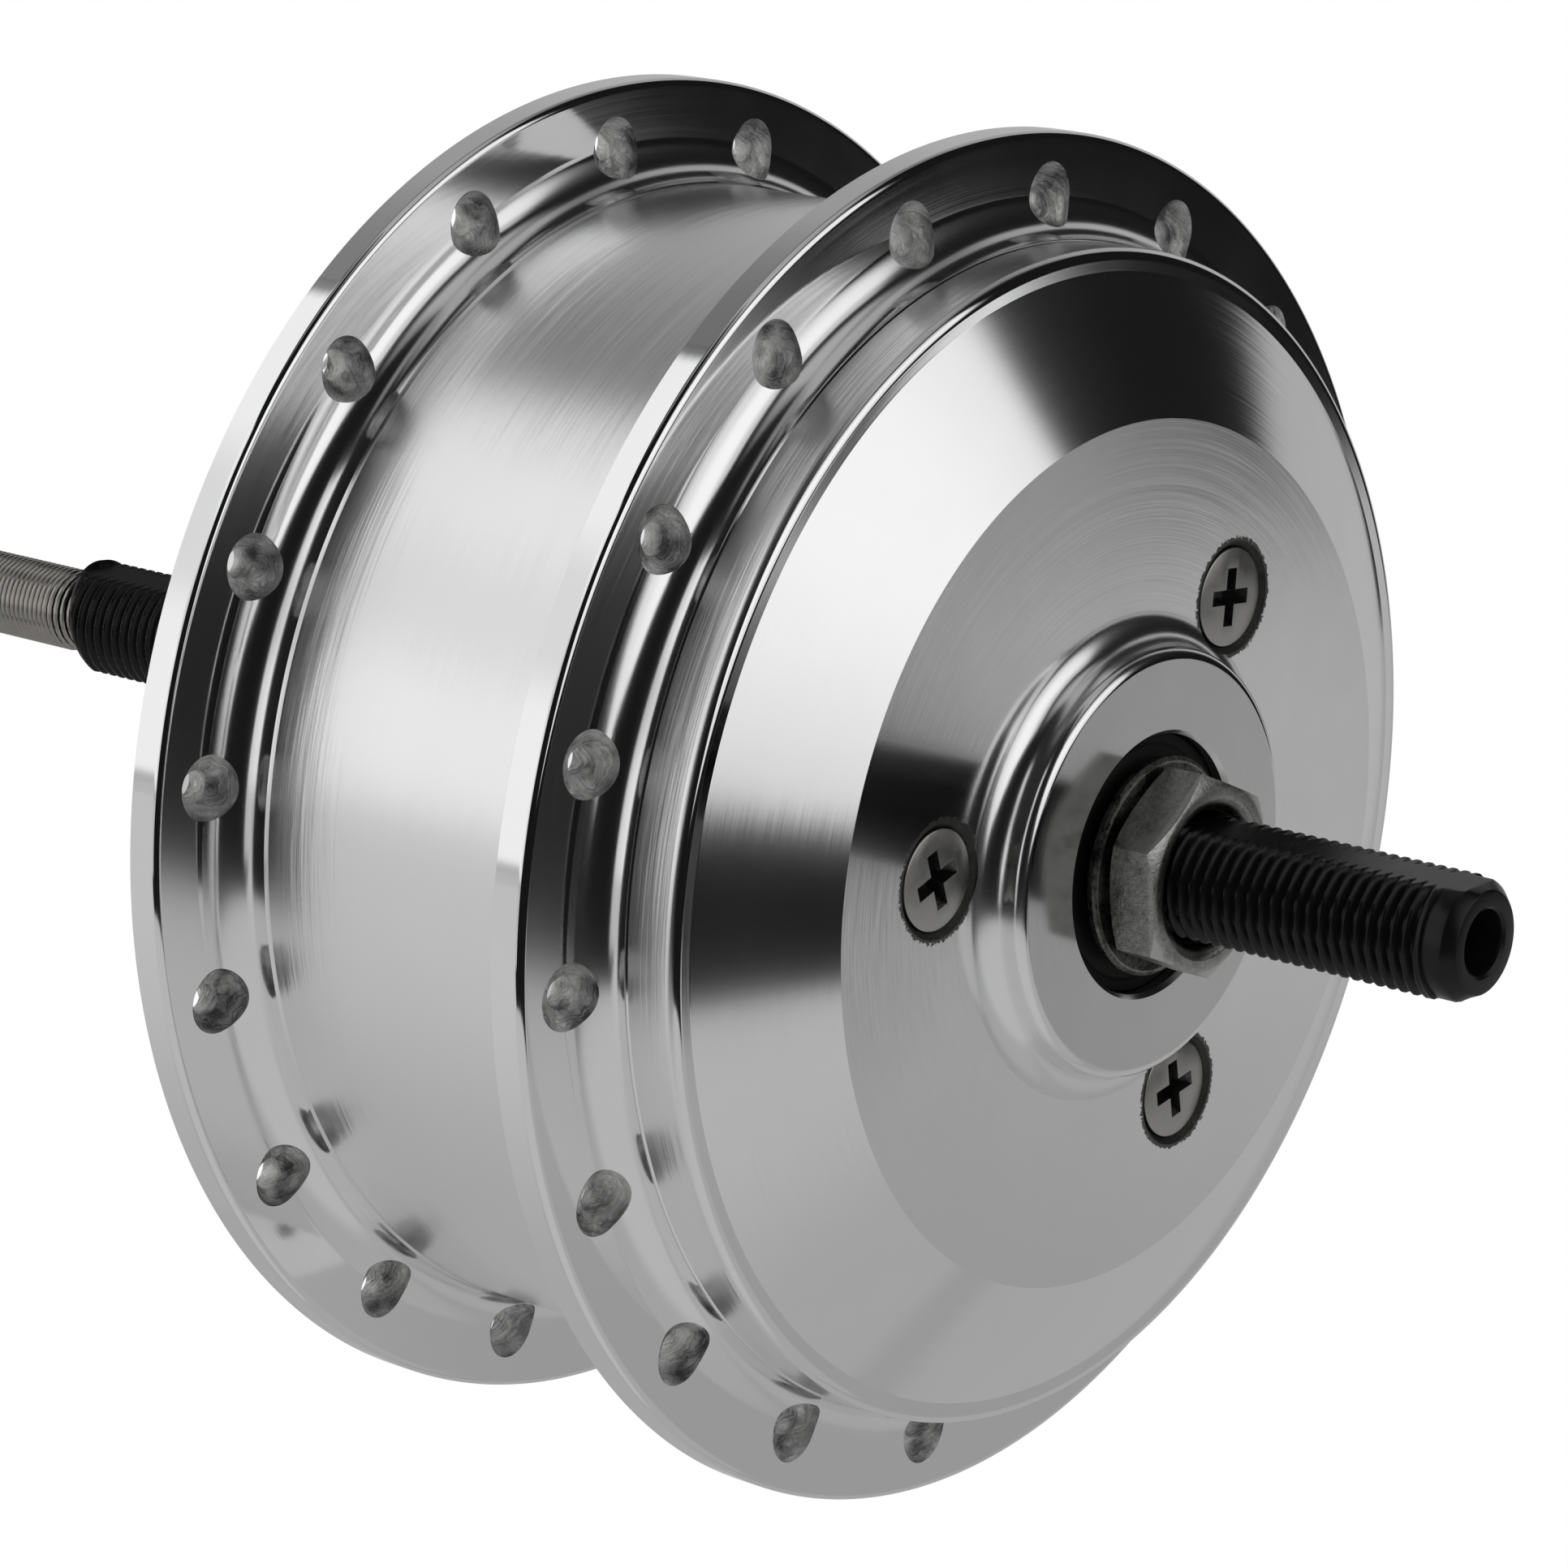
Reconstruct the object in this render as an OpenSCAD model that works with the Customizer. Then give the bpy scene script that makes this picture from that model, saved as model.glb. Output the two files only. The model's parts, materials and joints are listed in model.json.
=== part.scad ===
// Geared front hub motor: a fixed axle with a stator, an outer rotor, a planetary
// gear stage with a one-way clutch, and a polished hub shell with two spoke flanges.
// Millimetres. The axle lies along Y, the photographed side faces -Y, +Z is up.
// The origin is on the axle, midway between the two dropout seats.

/* [Axle] */
// Outside diameter of the axle thread
axle_d = 12; // [11.5:0.1:12.5]
// Width of the axle across its flats
axle_flats = 10; // [9:0.1:10.5]
// Length from the hub centre to the plain end
near_len = 79; // [72:1:90]
// Length from the hub centre to the cable end
far_len = 93; // [84:1:110]
// Distance between the outer faces of the two locknuts
dropout_w = 100; // [98:0.5:110]
// Bore that carries the cable
cable_bore_d = 8; // [7.9:0.1:8.4]
// Centre hole in the plain end
centre_hole_d = 5.8; // [3:0.1:7]
// Round collar left at the cable end, past the flats
end_collar = 0.8; // [0.4:0.2:3]
// Lean of the face at the cable end, in degrees
tip_lean = 13; // [0:1:16]
// Diameter under the stator
stator_seat_d = 20; // [19:0.5:21]

/* [Hub shell] */
// Height of a spoke flange above the drum
flange_h = 9.5; // [8:0.1:14]
// Thickness of a spoke flange
flange_t = 3.55; // [3:0.05:4.5]
// Distance from the hub centre to the face of the near flange
near_face = 24.4; // [23.5:0.1:26]
// Distance from one flange face to the other
flange_pitch = 43.3; // [42:0.1:44]
// Wall of the shell around the ring gear
shell_wall = 4.5; // [3:0.1:7]
// Radius of the hollow curve between a flange face and the drum
flange_fillet = 3.65; // [2.5:0.05:4]
// Gap between the shell and the rotor can
rotor_room = 1.6; // [0.8:0.1:3]

/* [Spoke holes] */
// Number of spokes on each flange
spokes = 18; // [16:2:20]
// Height of the near flange's hole centres above the drum
near_hole_h = 3.1; // [2.9:0.1:5]
// Height of the far flange's hole centres above the drum
far_hole_h = 3.8; // [3.6:0.1:5]
// Diameter of a spoke hole
spoke_hole_d = 3; // [2.6:0.1:3.4]
// Diameter of the drilled seat round a spoke hole
spoke_sink_d = 6.1; // [5.5:0.1:7]
// Lean of that drill, away from the axle so that it clears the cover, in degrees
spoke_sink_tilt = 33; // [20:1:35]
// Depth of the drill's point below the flange face
spoke_sink_depth = 1.8; // [1:0.1:2]

/* [Near cover] */
// Width of the cover's rim band, from the joint line with the shell
rim_w = 5.7; // [3:0.05:8]
// Width of the flat lip between the rim and the cone
lip_w = 2.9; // [2:0.1:5]
// Width of the cone, measured square to the axle
cone_w = 11.55; // [8:0.05:14]
// Height of the cone
cone_h = 6; // [4:0.05:8]
// Wall thickness of the cover
cover_wall = 4; // [3:0.1:4.5]
// Diameter of the boss where it meets the disc
boss_base_d = 44; // [41:0.1:46]
// Width of the rounded edge round the boss face
boss_edge = 3.15; // [3:0.05:5]
// Height of the boss above the disc
boss_h = 3.95; // [3.4:0.05:5]
// Diameter of the open bore in the boss
boss_bore_d = 24; // [23:0.1:25]
// Diameter of the circle that the cover screws stand on
screw_pcd = 53.5; // [52:0.1:55]
// Thread diameter of a cover screw
screw_d = 5; // [4:0.1:5.5]
// Head diameter of a cover screw
screw_head_d = 9.4; // [8.5:0.1:9.8]

/* [Locknuts] */
// Width of a locknut across its flats
nut_af = 17; // [16.5:0.1:18]
// Diameter of the flange on a locknut
nut_flange_d = 20.2; // [19.8:0.1:21.5]
// Height of a locknut
nut_h = 6.5; // [6:0.1:7.5]
// Turn of the locknuts on the axle, in degrees
nut_turn = 5; // [0:1:30]

/* [Gears] */
// Gear module
gear_m = 1; // [0.96:0.01:1.02]
// Teeth on the sun gear, with the planets' a multiple of three
sun_z = 20; // [20:3:26]
// Teeth on a planet gear
planet_z = 34; // [31:3:34]
// Width of the gears
gear_w = 12; // [9:0.5:12]
// Diameter of the planet pins
pin_d = 8; // [6:0.5:9]

/* [Motor] */
// Wall of the rotor can
can_wall = 2.4; // [2:0.1:2.6]
// Thickness of the magnets
magnet_t = 2.6; // [2:0.1:2.8]
// Gap between magnets and stator teeth
air_gap = 0.6; // [0.4:0.1:1]
// Number of stator teeth
teeth = 18; // [15:3:18]
// Number of magnets
poles = 20; // [16:2:20]
// Length of the stator stack
stack_l = 19; // [15:0.5:19]

/* [Cable] */
// Diameter of the motor cable
cable_d = 5.8; // [5:0.1:5.9]
// Outside diameter of the spring round the cable
spring_d = 7.7; // [7.6:0.05:7.8]
// Wire of the spring
spring_wire = 0.8; // [0.7:0.05:0.8]
// Length of the spring outside the axle
spring_l = 38; // [30:1:38]

/* [Hidden] */
$fn = 96;
eps = 0.01;
// Clearance of a fixed fit, of a running fit, and the gap kept round moving pieces
fit = 0.03;
run = 0.05;
clear = 0.5;

// The planetary stage sets the shell's diameters, and these set the rotor's
ring_z = sun_z + 2 * planet_z;
gear_bore_d = gear_m * ring_z + 12;
shell_bore_d = gear_bore_d - 2.8;
can_d = shell_bore_d - 2 * rotor_room;
drum_d = gear_bore_d + 2 * shell_wall;
flange_d = drum_d + 2 * flange_h;
near_pcd = drum_d + 2 * near_hole_h;
far_pcd = drum_d + 2 * far_hole_h;
cone_d = drum_d - 2 * lip_w;
disc_d = cone_d - 2 * cone_w;
boss_face_d = boss_base_d - 2 * boss_edge;

// Places along the axle
seam = near_face + flange_fillet;
band = seam + rim_w;
disc = band + cone_h;
boss = disc + boss_h;
far_face = flange_pitch - near_face;
nut_seat = dropout_w / 2;
boss_bottom = boss - 4.2;
bearing_w = 8;
near_brg = -boss_bottom;
near_brg_end = near_brg + bearing_w;
retainer_t = 1.5;
far_brg_w = 9;
far_brg = boss_bottom - far_brg_w;
carrier_t = 3;
carrier_y = near_brg_end + retainer_t + clear;
gear_y = carrier_y + carrier_t + clear;
gear_end = gear_y + gear_w;
sun_flange_t = 1.5;
rotor_y = gear_end + clear + sun_flange_t;
// Shoulder of the axle, just inside the first rotor bearing
shoulder_y = rotor_y + 0.3;
rotor_brg_w = 5;
rotor_hub_l = 11.5;
web_y = rotor_y + 5;
web_t = 2.5;
stack_y = rotor_y + rotor_hub_l + 2;
stack_end = stack_y + stack_l;
overhang = 4;
can_end = stack_end + 3;
board_y = stack_end + overhang + 2;
board_t = 1.6;
ring_y = gear_y - 0.4;
ring_end = gear_end + 0.4;

// Sizes that follow from others
flange_r = flange_d / 2;
drum_r = drum_d / 2;
brg_d = 28;
far_brg_d = 32;
far_seat_d = 15;
rotor_seat_d = 17;
rotor_brg_d = 26;
seal_run = 0.3;
spacer_d = 16;
planet_r = gear_m * (sun_z + planet_z) / 2;
backlash = 0.2;
bushing_d = pin_d + 3;
magnet_r = can_d / 2 - can_wall;
stator_r = magnet_r - magnet_t - air_gap;
yoke_in = 24;
yoke_out = 29;
tooth_w = 5;
coil_t = 2.1;
pad_r = screw_pcd / 2 + 4.8;
screw_angle = 51.5;
near_spoke_angle = 2;
far_spoke_angle = 12;
floor_z = -flange_r;
// Angle of the longest side of the leaning cable end, and of each screw's cross recess
tip_turn = 50;
recess_turns = [4, 32, 20];

// Helpers: a revolve about Y, a plate across Y, a rod along Y, a place at an angle
module lathe(p) rotate([-90, 0, 0]) rotate_extrude() polygon(p);
module plate(y0, y1) translate([0, y1, 0]) rotate([90, 0, 0]) linear_extrude(y1 - y0) children();
module rod(d, y0, y1) translate([0, y1, 0]) rotate([90, 0, 0]) cylinder(d = d, h = y1 - y0);
module tube(d_out, d_in, y0, y1) {
    difference() {
        rod(d_out, y0, y1);
        rod(d_in, y0 - 1, y1 + 1);
    }
}
module at(angle, r) rotate([0, -angle, 0]) translate([r, 0, 0]) children();
function arc(c, r, a0, a1, n = 6) =
    [for (i = [0:n]) let (a = a0 + (a1 - a0) * i / n) [c[0] + r * cos(a), c[1] + r * sin(a)]];

// Axle and what is clamped on it
module axle() {
    h = axle_flats / 2;
    color("#1c1c1e") difference() {
        lathe([[0, -near_len], [axle_d / 2 - 1.5, -near_len], [axle_d / 2 - 0.4, -near_len + 1.1],
            [axle_d / 2 - 0.4, -near_len + 3], [axle_d / 2, -near_len + 3.4],
            [axle_d / 2, shoulder_y], [rotor_seat_d / 2, shoulder_y],
            [rotor_seat_d / 2, rotor_y + rotor_hub_l], [stator_seat_d / 2, rotor_y + rotor_hub_l],
            [stator_seat_d / 2, stack_end + clear], [rotor_seat_d / 2, stack_end + clear],
            [rotor_seat_d / 2, far_brg], [far_seat_d / 2, far_brg], [far_seat_d / 2, boss_bottom],
            [axle_d / 2, boss_bottom], [axle_d / 2, far_len - 0.6], [axle_d / 2 - 0.6, far_len],
            [0, far_len]]);
        for (s = [-1, 1]) {
            translate([-axle_d, -near_len - 1, s > 0 ? h : -h - axle_d])
                cube([2 * axle_d, near_len + 1 - boss, axle_d]);
            translate([-axle_d, boss, s > 0 ? h : -h - axle_d])
                cube([2 * axle_d, far_len - end_collar - boss, axle_d]);
        }
        rod(cable_bore_d, stack_end + 1.5, far_len + 1);
        translate([0, far_len - axle_d / 2 * tan(tip_lean), 0]) rotate([0, -tip_turn, 0])
            rotate([0, 0, tip_lean]) translate([-axle_d, 0, -axle_d]) cube(2 * axle_d);
        lathe([[0, -near_len - 1], [centre_hole_d / 2 + 1, -near_len - 1],
            [centre_hole_d / 2, -near_len + 0.4], [centre_hole_d / 2, -near_len + 14], [0, -near_len + 16]]);
        translate([-3.2, stack_end + 1.5, -stator_seat_d])
            cube([6.4, 6.5, stator_seat_d]);
        translate([-2, stack_y, stator_seat_d / 2 - 1.5])
            cube([4, stack_l - 2, stator_seat_d]);
    }
}

module locknut() {
    rear = -nut_seat + nut_h - 1.4;
    color("#8d8f8c") difference() {
        union() {
            intersection() {
                plate(-nut_seat, rear) rotate(30 + nut_turn) circle(d = nut_af / cos(30), $fn = 6);
                lathe([[0, -nut_seat], [nut_af / 2 * 0.97, -nut_seat], [nut_af / 2 * 1.16, -nut_seat + 0.8],
                    [nut_af / 2 * 1.16, rear - 0.6], [nut_af / 2 * 0.98, rear], [0, rear]]);
            }
            lathe([[0, rear - 0.5], [nut_af / 2 - 0.4, rear - 0.5], [nut_af / 2 - 0.4, rear + 0.5],
                [nut_flange_d / 2 - 0.3, rear + 0.5], [nut_flange_d / 2, rear + 0.8],
                [nut_flange_d / 2, rear + 1.4], [0, rear + 1.4]]);
        }
        rod(axle_d + 2 * fit, -nut_seat - 1, 0);
        lathe([[0, -nut_seat - 1], [axle_d / 2 + 1.7, -nut_seat - 1], [axle_d / 2, -nut_seat + 0.7],
            [0, -nut_seat + 0.7]]);
    }
}
module near_locknut() locknut();
module far_locknut() mirror([0, 1, 0]) locknut();

spacer_end = nut_seat - nut_h;
module near_spacer()
    color("#9a9a98") tube(spacer_d, axle_d + 2 * fit, -spacer_end, -boss_bottom);
module far_spacer()
    color("#9a9a98") tube(spacer_d, axle_d + 2 * fit, boss_bottom, spacer_end);
module gear_spacer()
    color("#9a9a98") tube(axle_d + 2.2, axle_d + 2 * fit, gear_y - 0.3, shoulder_y);

// Hub shell, its cover and the seals
// A seat is drilled at a slant, its middle a little outside the hole's, and the hole straight through it
sink_shift = 0.6;
drill_point = 118;
module spoke_holes(pcd, face, phase) {
    r = spoke_sink_d / 2;
    point = spoke_sink_depth / cos(spoke_sink_tilt);
    for (i = [0:spokes - 1]) at(phase + i * 360 / spokes, pcd / 2) {
        rod(spoke_hole_d, face - 1, face + flange_t + 1);
        translate([sink_shift, face, 0]) rotate([0, 0, spoke_sink_tilt])
            lathe([[0, point], [r, point - r / tan(drill_point / 2)], [r, -2 * r], [0, -2 * r]]);
        lathe([[0, face + flange_t + 1], [spoke_hole_d / 2 + 0.5, face + flange_t + 1],
            [spoke_hole_d / 2 + 0.5, face + flange_t], [spoke_hole_d / 2, face + flange_t - 0.5],
            [0, face + 1]]);
    }
}

far_neck_r = drum_d / 2 - 2.5;
far_disc = boss - 7.7;
module hub_shell() {
    fr = flange_fillet;
    back = far_face + flange_t;
    color("#c9cacb") difference() {
        lathe(concat(
            [[gear_bore_d / 2, -seam], [drum_r - 0.15, -seam], [drum_r, -seam + 0.15]],
            arc([drum_r + fr, -near_face - fr + 0.15], fr - 0.15, 180, 90),
            arc([flange_r - 0.9, -near_face + 0.9], 0.9, -90, 0, 4),
            [[flange_r, -near_face + flange_t - 0.3], [flange_r - 0.3, -near_face + flange_t]],
            arc([drum_r + 1.5, -near_face + flange_t + 1.5], 1.5, -90, -180, 4),
            [[drum_r, far_face - fr - 0.85]],
            arc([drum_r + 0.2 + fr, far_face - fr], fr, 180, 90),
            arc([flange_r - 0.9, far_face + 0.9], 0.9, -90, 0, 4),
            [[flange_r, back - 0.3], [flange_r - 0.3, back]],
            arc([far_neck_r + 1.5, back + 1.5], 1.5, -90, -180, 4),
            arc([far_neck_r - 1.5, far_disc - 8], 1.5, 0, 60, 4),
            [[disc_d / 2, far_disc]],
            arc([boss_base_d / 2 + 1.5, far_disc + 1.5], 1.5, -90, -180, 4),
            arc([boss_base_d / 2 - 1.5, boss - 1.5], 1.5, 0, 90, 4),
            [[boss_bore_d / 2 + 0.4, boss], [boss_bore_d / 2, boss - 0.4],
            [boss_bore_d / 2, boss_bottom], [far_brg_d / 2 + fit, boss_bottom],
            [far_brg_d / 2 + fit, far_brg], [far_brg_d / 2 + 5, far_brg],
            [far_brg_d / 2 + 6.5, far_disc - cover_wall], [disc_d / 2 - 2, far_disc - cover_wall],
            [shell_bore_d / 2, far_disc - 10], [shell_bore_d / 2, ring_end], [gear_bore_d / 2, ring_end]]));
        spoke_holes(near_pcd, -near_face, near_spoke_angle);
        spoke_holes(far_pcd, far_face, far_spoke_angle);
    }
}

sink_d = 10.6;
module near_cover() {
    rb = boss_face_d / 2 + 1.55;
    fb = boss_base_d / 2 - rb;
    slope = (disc - band) / (cone_d / 2 - disc_d / 2);
    in_r = gear_bore_d / 2 - 3.5;
    in_y = disc - cover_wall;
    color("#c4c5c6") difference() {
        lathe(concat(
            [[gear_bore_d / 2 - fit, ring_y], [gear_bore_d / 2 - fit, -seam],
            [drum_r - 0.15, -seam], [drum_r, -seam - 0.15]],
            arc([drum_r - 1.2, -band + 1.35], 1.2, 0, -90, 5),
            [[cone_d / 2 + 0.3, -band], [cone_d / 2, -band - 0.05], [disc_d / 2, -disc]],
            arc([boss_base_d / 2, -disc - fb], fb, 90, 180, 5),
            arc([rb - 1.55, -boss + 1.55], 1.55, 0, -90, 5),
            [[boss_bore_d / 2 + 0.4, -boss], [boss_bore_d / 2, -boss + 0.4],
            [boss_bore_d / 2, -boss_bottom], [brg_d / 2 + fit, -boss_bottom],
            [brg_d / 2 + fit, near_brg_end], [pad_r, near_brg_end], [pad_r, -in_y],
            [disc_d / 2 - 1.5, -in_y], [in_r, -in_y + slope * (in_r - disc_d / 2 + 1.5)],
            [in_r, ring_y]]));
        for (i = [0:2]) at(screw_angle + 120 * i, screw_pcd / 2) {
            rod(screw_d + 2 * fit, -disc - 1, near_brg_end + 1);
            lathe([[0, -disc - eps], [sink_d / 2, -disc - eps],
                [screw_d / 2, -disc + (sink_d - screw_d) / 2], [0, -disc + 3]]);
        }
    }
}

module bearing_retainer() {
    color("#8e9092") difference() {
        tube(2 * pad_r - 0.6, 25.6, near_brg_end, near_brg_end + retainer_t);
        for (i = [0:2]) at(screw_angle + 120 * i, screw_pcd / 2)
            rod(screw_d + 2 * fit, near_brg_end - 1, near_brg_end + retainer_t + 1);
    }
}

module cover_screws() {
    top = -disc + (sink_d - screw_head_d) / 2;
    color("#a7a59e") for (i = [0:2]) at(screw_angle + 120 * i, screw_pcd / 2) difference() {
        lathe([[0, top], [screw_head_d / 2 - 0.15, top], [screw_head_d / 2 - 0.15, top + 0.1],
            [screw_d / 2, top - 0.05 + (screw_head_d - screw_d) / 2],
            [screw_d / 2, near_brg_end + retainer_t - 0.4], [screw_d / 2 - 0.4, near_brg_end + retainer_t],
            [0, near_brg_end + retainer_t]]);
        rotate([0, recess_turns[i], 0]) for (a = [0, 90]) rotate([0, a, 0])
            translate([-2.8, top - 1, -0.6]) cube([5.6, 2.6, 1.2]);
    }
}

module seal() {
    color("#17181a") lathe([[spacer_d / 2 + seal_run, -boss_bottom - 2.7],
        [boss_bore_d / 2 - fit, -boss_bottom - 2.7], [boss_bore_d / 2 - fit, -boss_bottom - 0.1],
        [spacer_d / 2 + seal_run + 0.8, -boss_bottom - 0.1],
        [spacer_d / 2 + seal_run + 0.8, -boss_bottom - 1.6], [spacer_d / 2 + seal_run, -boss_bottom - 1.9]]);
}
module near_seal() seal();
module far_seal() mirror([0, 1, 0]) seal();

// Ball bearings: an inner ring, an outer ring, and balls held in a cage
function ball_r(id, od) = 0.15 * (od - id);
module race_groove(id, od, y, w) rotate([-90, 0, 0]) translate([0, 0, y + w / 2]) rotate_extrude()
    translate([(id + od) / 4, 0]) circle(r = ball_r(id, od) + 0.15, $fn = 32);
module bearing_inner(id, od, y, w) {
    color("#b9bbbd") difference() {
        tube((id + od) / 2 - 1.1 * ball_r(id, od), id + 2 * fit, y, y + w);
        race_groove(id, od, y, w);
    }
}
module bearing_outer(id, od, y, w) {
    color("#b9bbbd") difference() {
        tube(od, (id + od) / 2 + 1.1 * ball_r(id, od), y, y + w);
        race_groove(id, od, y, w);
    }
}
module bearing_balls(id, od, y, w, n) {
    b = ball_r(id, od);
    c = (id + od) / 4;
    color("#d8dadc") {
        for (i = [0:n - 1]) at(i * 360 / n, c) translate([0, y + w / 2, 0]) sphere(r = b, $fn = 24);
        difference() {
            tube(2 * c + 0.7, 2 * c - 0.7, y + w / 2 - b * 0.7, y + w / 2 + b * 1.25);
            for (i = [0:n - 1]) at(i * 360 / n, c) {
                translate([0, y + w / 2, 0]) rotate([0, 90, 0]) cylinder(r = b + 0.12, h = 3, center = true);
                translate([-1.5, y - 1, -b * 0.75]) cube([3, w / 2 + 1, b * 1.5]);
            }
        }
    }
}
module near_bearing_inner() bearing_inner(axle_d, brg_d, near_brg, bearing_w);
module near_bearing_outer() bearing_outer(axle_d, brg_d, near_brg, bearing_w);
module near_bearing_balls() bearing_balls(axle_d, brg_d, near_brg, bearing_w, 8);
module far_bearing_inner() bearing_inner(far_seat_d, far_brg_d, far_brg, far_brg_w);
module far_bearing_outer() bearing_outer(far_seat_d, far_brg_d, far_brg, far_brg_w);
module far_bearing_balls() bearing_balls(far_seat_d, far_brg_d, far_brg, far_brg_w, 9);
rotor_brgs = [rotor_y, rotor_y + rotor_hub_l - rotor_brg_w];
module rotor_bearing_inners()
    for (y = rotor_brgs) bearing_inner(rotor_seat_d, rotor_brg_d, y, rotor_brg_w);
module rotor_bearing_outers()
    for (y = rotor_brgs) bearing_outer(rotor_seat_d, rotor_brg_d, y, rotor_brg_w);
module rotor_bearing_balls()
    for (y = rotor_brgs) bearing_balls(rotor_seat_d, rotor_brg_d, y, rotor_brg_w, 12);

// Gears: involute outlines
function inv(a) = tan(a) * 180 / PI - a;
function half_angle(z, r, play) =
    let (rp = gear_m * z / 2, rb = rp * cos(20), q = max(r, rb))
    90 / z + inv(20) - inv(acos(rb / q)) + play / rp * 90 / PI;
function outline(z, radii, play) = [for (i = [0:z - 1]) each concat(
    [for (r = radii) let (a = i * 360 / z - half_angle(z, r, play)) [r * cos(a), r * sin(a)]],
    [for (k = [len(radii) - 1:-1:0]) let (r = radii[k], a = i * 360 / z + half_angle(z, r, play))
        [r * cos(a), r * sin(a)]])];
function flank(z, inner, outer) = let (rp = gear_m * z / 2, a = rp - inner * gear_m, b = rp + outer * gear_m)
    [a, a + (b - a) * 0.3, a + (b - a) * 0.65, b];
module gear(z) polygon(outline(z, flank(z, 1.25, 0.95), -backlash / 2));

ring_turn = (planet_angle(0) * (sun_z + ring_z) / 360 + planet_z / 2 - 0.5) * 360 / ring_z;
module ring_gear() {
    color("#5f6367") plate(ring_y, ring_end) difference() {
        circle(d = gear_bore_d - 2 * fit, $fn = 180);
        rotate(ring_turn) polygon(outline(ring_z, flank(ring_z, 0.95, 1.3), backlash / 2));
    }
}

sun_bore_d = axle_d + 3.2;
sun_screw_r = 16;
module sun_gear() {
    color("#7d8084") difference() {
        union() {
            plate(gear_y, gear_end + clear + eps) gear(sun_z);
            rod(2 * sun_screw_r + 5, gear_end + clear, rotor_y);
        }
        rod(sun_bore_d, gear_y - 1, rotor_y + 1);
        for (i = [0:2]) at(120 * i, sun_screw_r) lathe([[0, gear_end], [2.3, gear_end],
            [2.3, gear_end + clear + 0.1], [1.28, gear_end + clear + 1.1], [1.28, rotor_y + 1],
            [0, rotor_y + 1]]);
    }
}
module sun_gear_screws()
    color("#a7a59e") for (i = [0:2]) at(120 * i, sun_screw_r) lathe([[0, gear_end + clear + 0.1],
        [2.2, gear_end + clear + 0.1], [1.25, gear_end + clear + 1.1], [1.25, rotor_y + 2.6],
        [0, rotor_y + 2.6]]);

// A planet turned so that its teeth mesh with the sun and the ring
function planet_angle(k) = 90 + 120 * k;
function planet_turn(a) = a + 180 - (0.5 - a * sun_z / 360) * 360 / planet_z;
module planet_gear(k) {
    a = planet_angle(k);
    color("#e4dcc4") at(a, planet_r) rotate([0, a, 0]) plate(gear_y + 0.1, gear_end - 0.1) difference() {
        rotate(planet_turn(a)) gear(planet_z);
        circle(d = bushing_d + 2 * fit);
        rotate(planet_turn(a)) for (i = [0:5]) rotate(60 * i) translate([11, 0]) circle(d = 5.5);
    }
}
module planet_gear_1() planet_gear(0);
module planet_gear_2() planet_gear(1);
module planet_gear_3() planet_gear(2);
module planet_bushing(k)
    color("#b08d4c") at(planet_angle(k), planet_r)
        tube(bushing_d, pin_d + 2 * run, gear_y - 0.1, gear_end + 0.1);
module planet_bushing_1() planet_bushing(0);
module planet_bushing_2() planet_bushing(1);
module planet_bushing_3() planet_bushing(2);

clutch_r = spacer_d / 2;
roller_d = 2;
module planet_carrier() {
    hub_y = near_brg_end + 0.5;
    color("#8a8c8f") difference() {
        union() {
            rod(24.6, hub_y, carrier_y + carrier_t);
            plate(carrier_y, carrier_y + carrier_t) {
                circle(r = 18);
                for (k = [0:2]) rotate(planet_angle(k)) {
                    translate([planet_r, 0]) circle(r = pin_d / 2 + 3.5);
                    translate([0, -pin_d / 2 - 3.5]) square([planet_r, pin_d + 7]);
                }
            }
        }
        rod(2 * (clutch_r + roller_d) + 2 * run, hub_y - 1, carrier_y + carrier_t + 1);
        for (k = [0:2]) at(planet_angle(k), planet_r) rod(pin_d + 2 * fit, carrier_y - 1, 0);
    }
}
module planet_pins()
    color("#9ea0a2") for (k = [0:2]) at(planet_angle(k), planet_r) difference() {
        rod(pin_d, carrier_y, gear_end + 1.6);
        tube(pin_d + 2, pin_d - 1, gear_end + 0.35, gear_end + 1.15);
    }
module planet_clips()
    color("#3a3b3d") for (k = [0:2]) at(planet_angle(k), planet_r)
        plate(gear_end + 0.4, gear_end + 1.1) difference() {
            circle(d = pin_d + 4.4);
            circle(d = pin_d - 1 + 2 * fit);
            translate([0, -1.5]) square([pin_d, 3]);
        }
module clutch_race()
    color("#8a8c8f") tube(2 * clutch_r, axle_d + 2 * fit, near_brg_end, gear_y - 0.3);
module clutch_rollers()
    color("#d0d2d4") for (i = [0:11]) at(30 * i, clutch_r + roller_d / 2)
        rod(roller_d - 0.1, near_brg_end + 0.7, carrier_y + carrier_t - 0.3);

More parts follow.
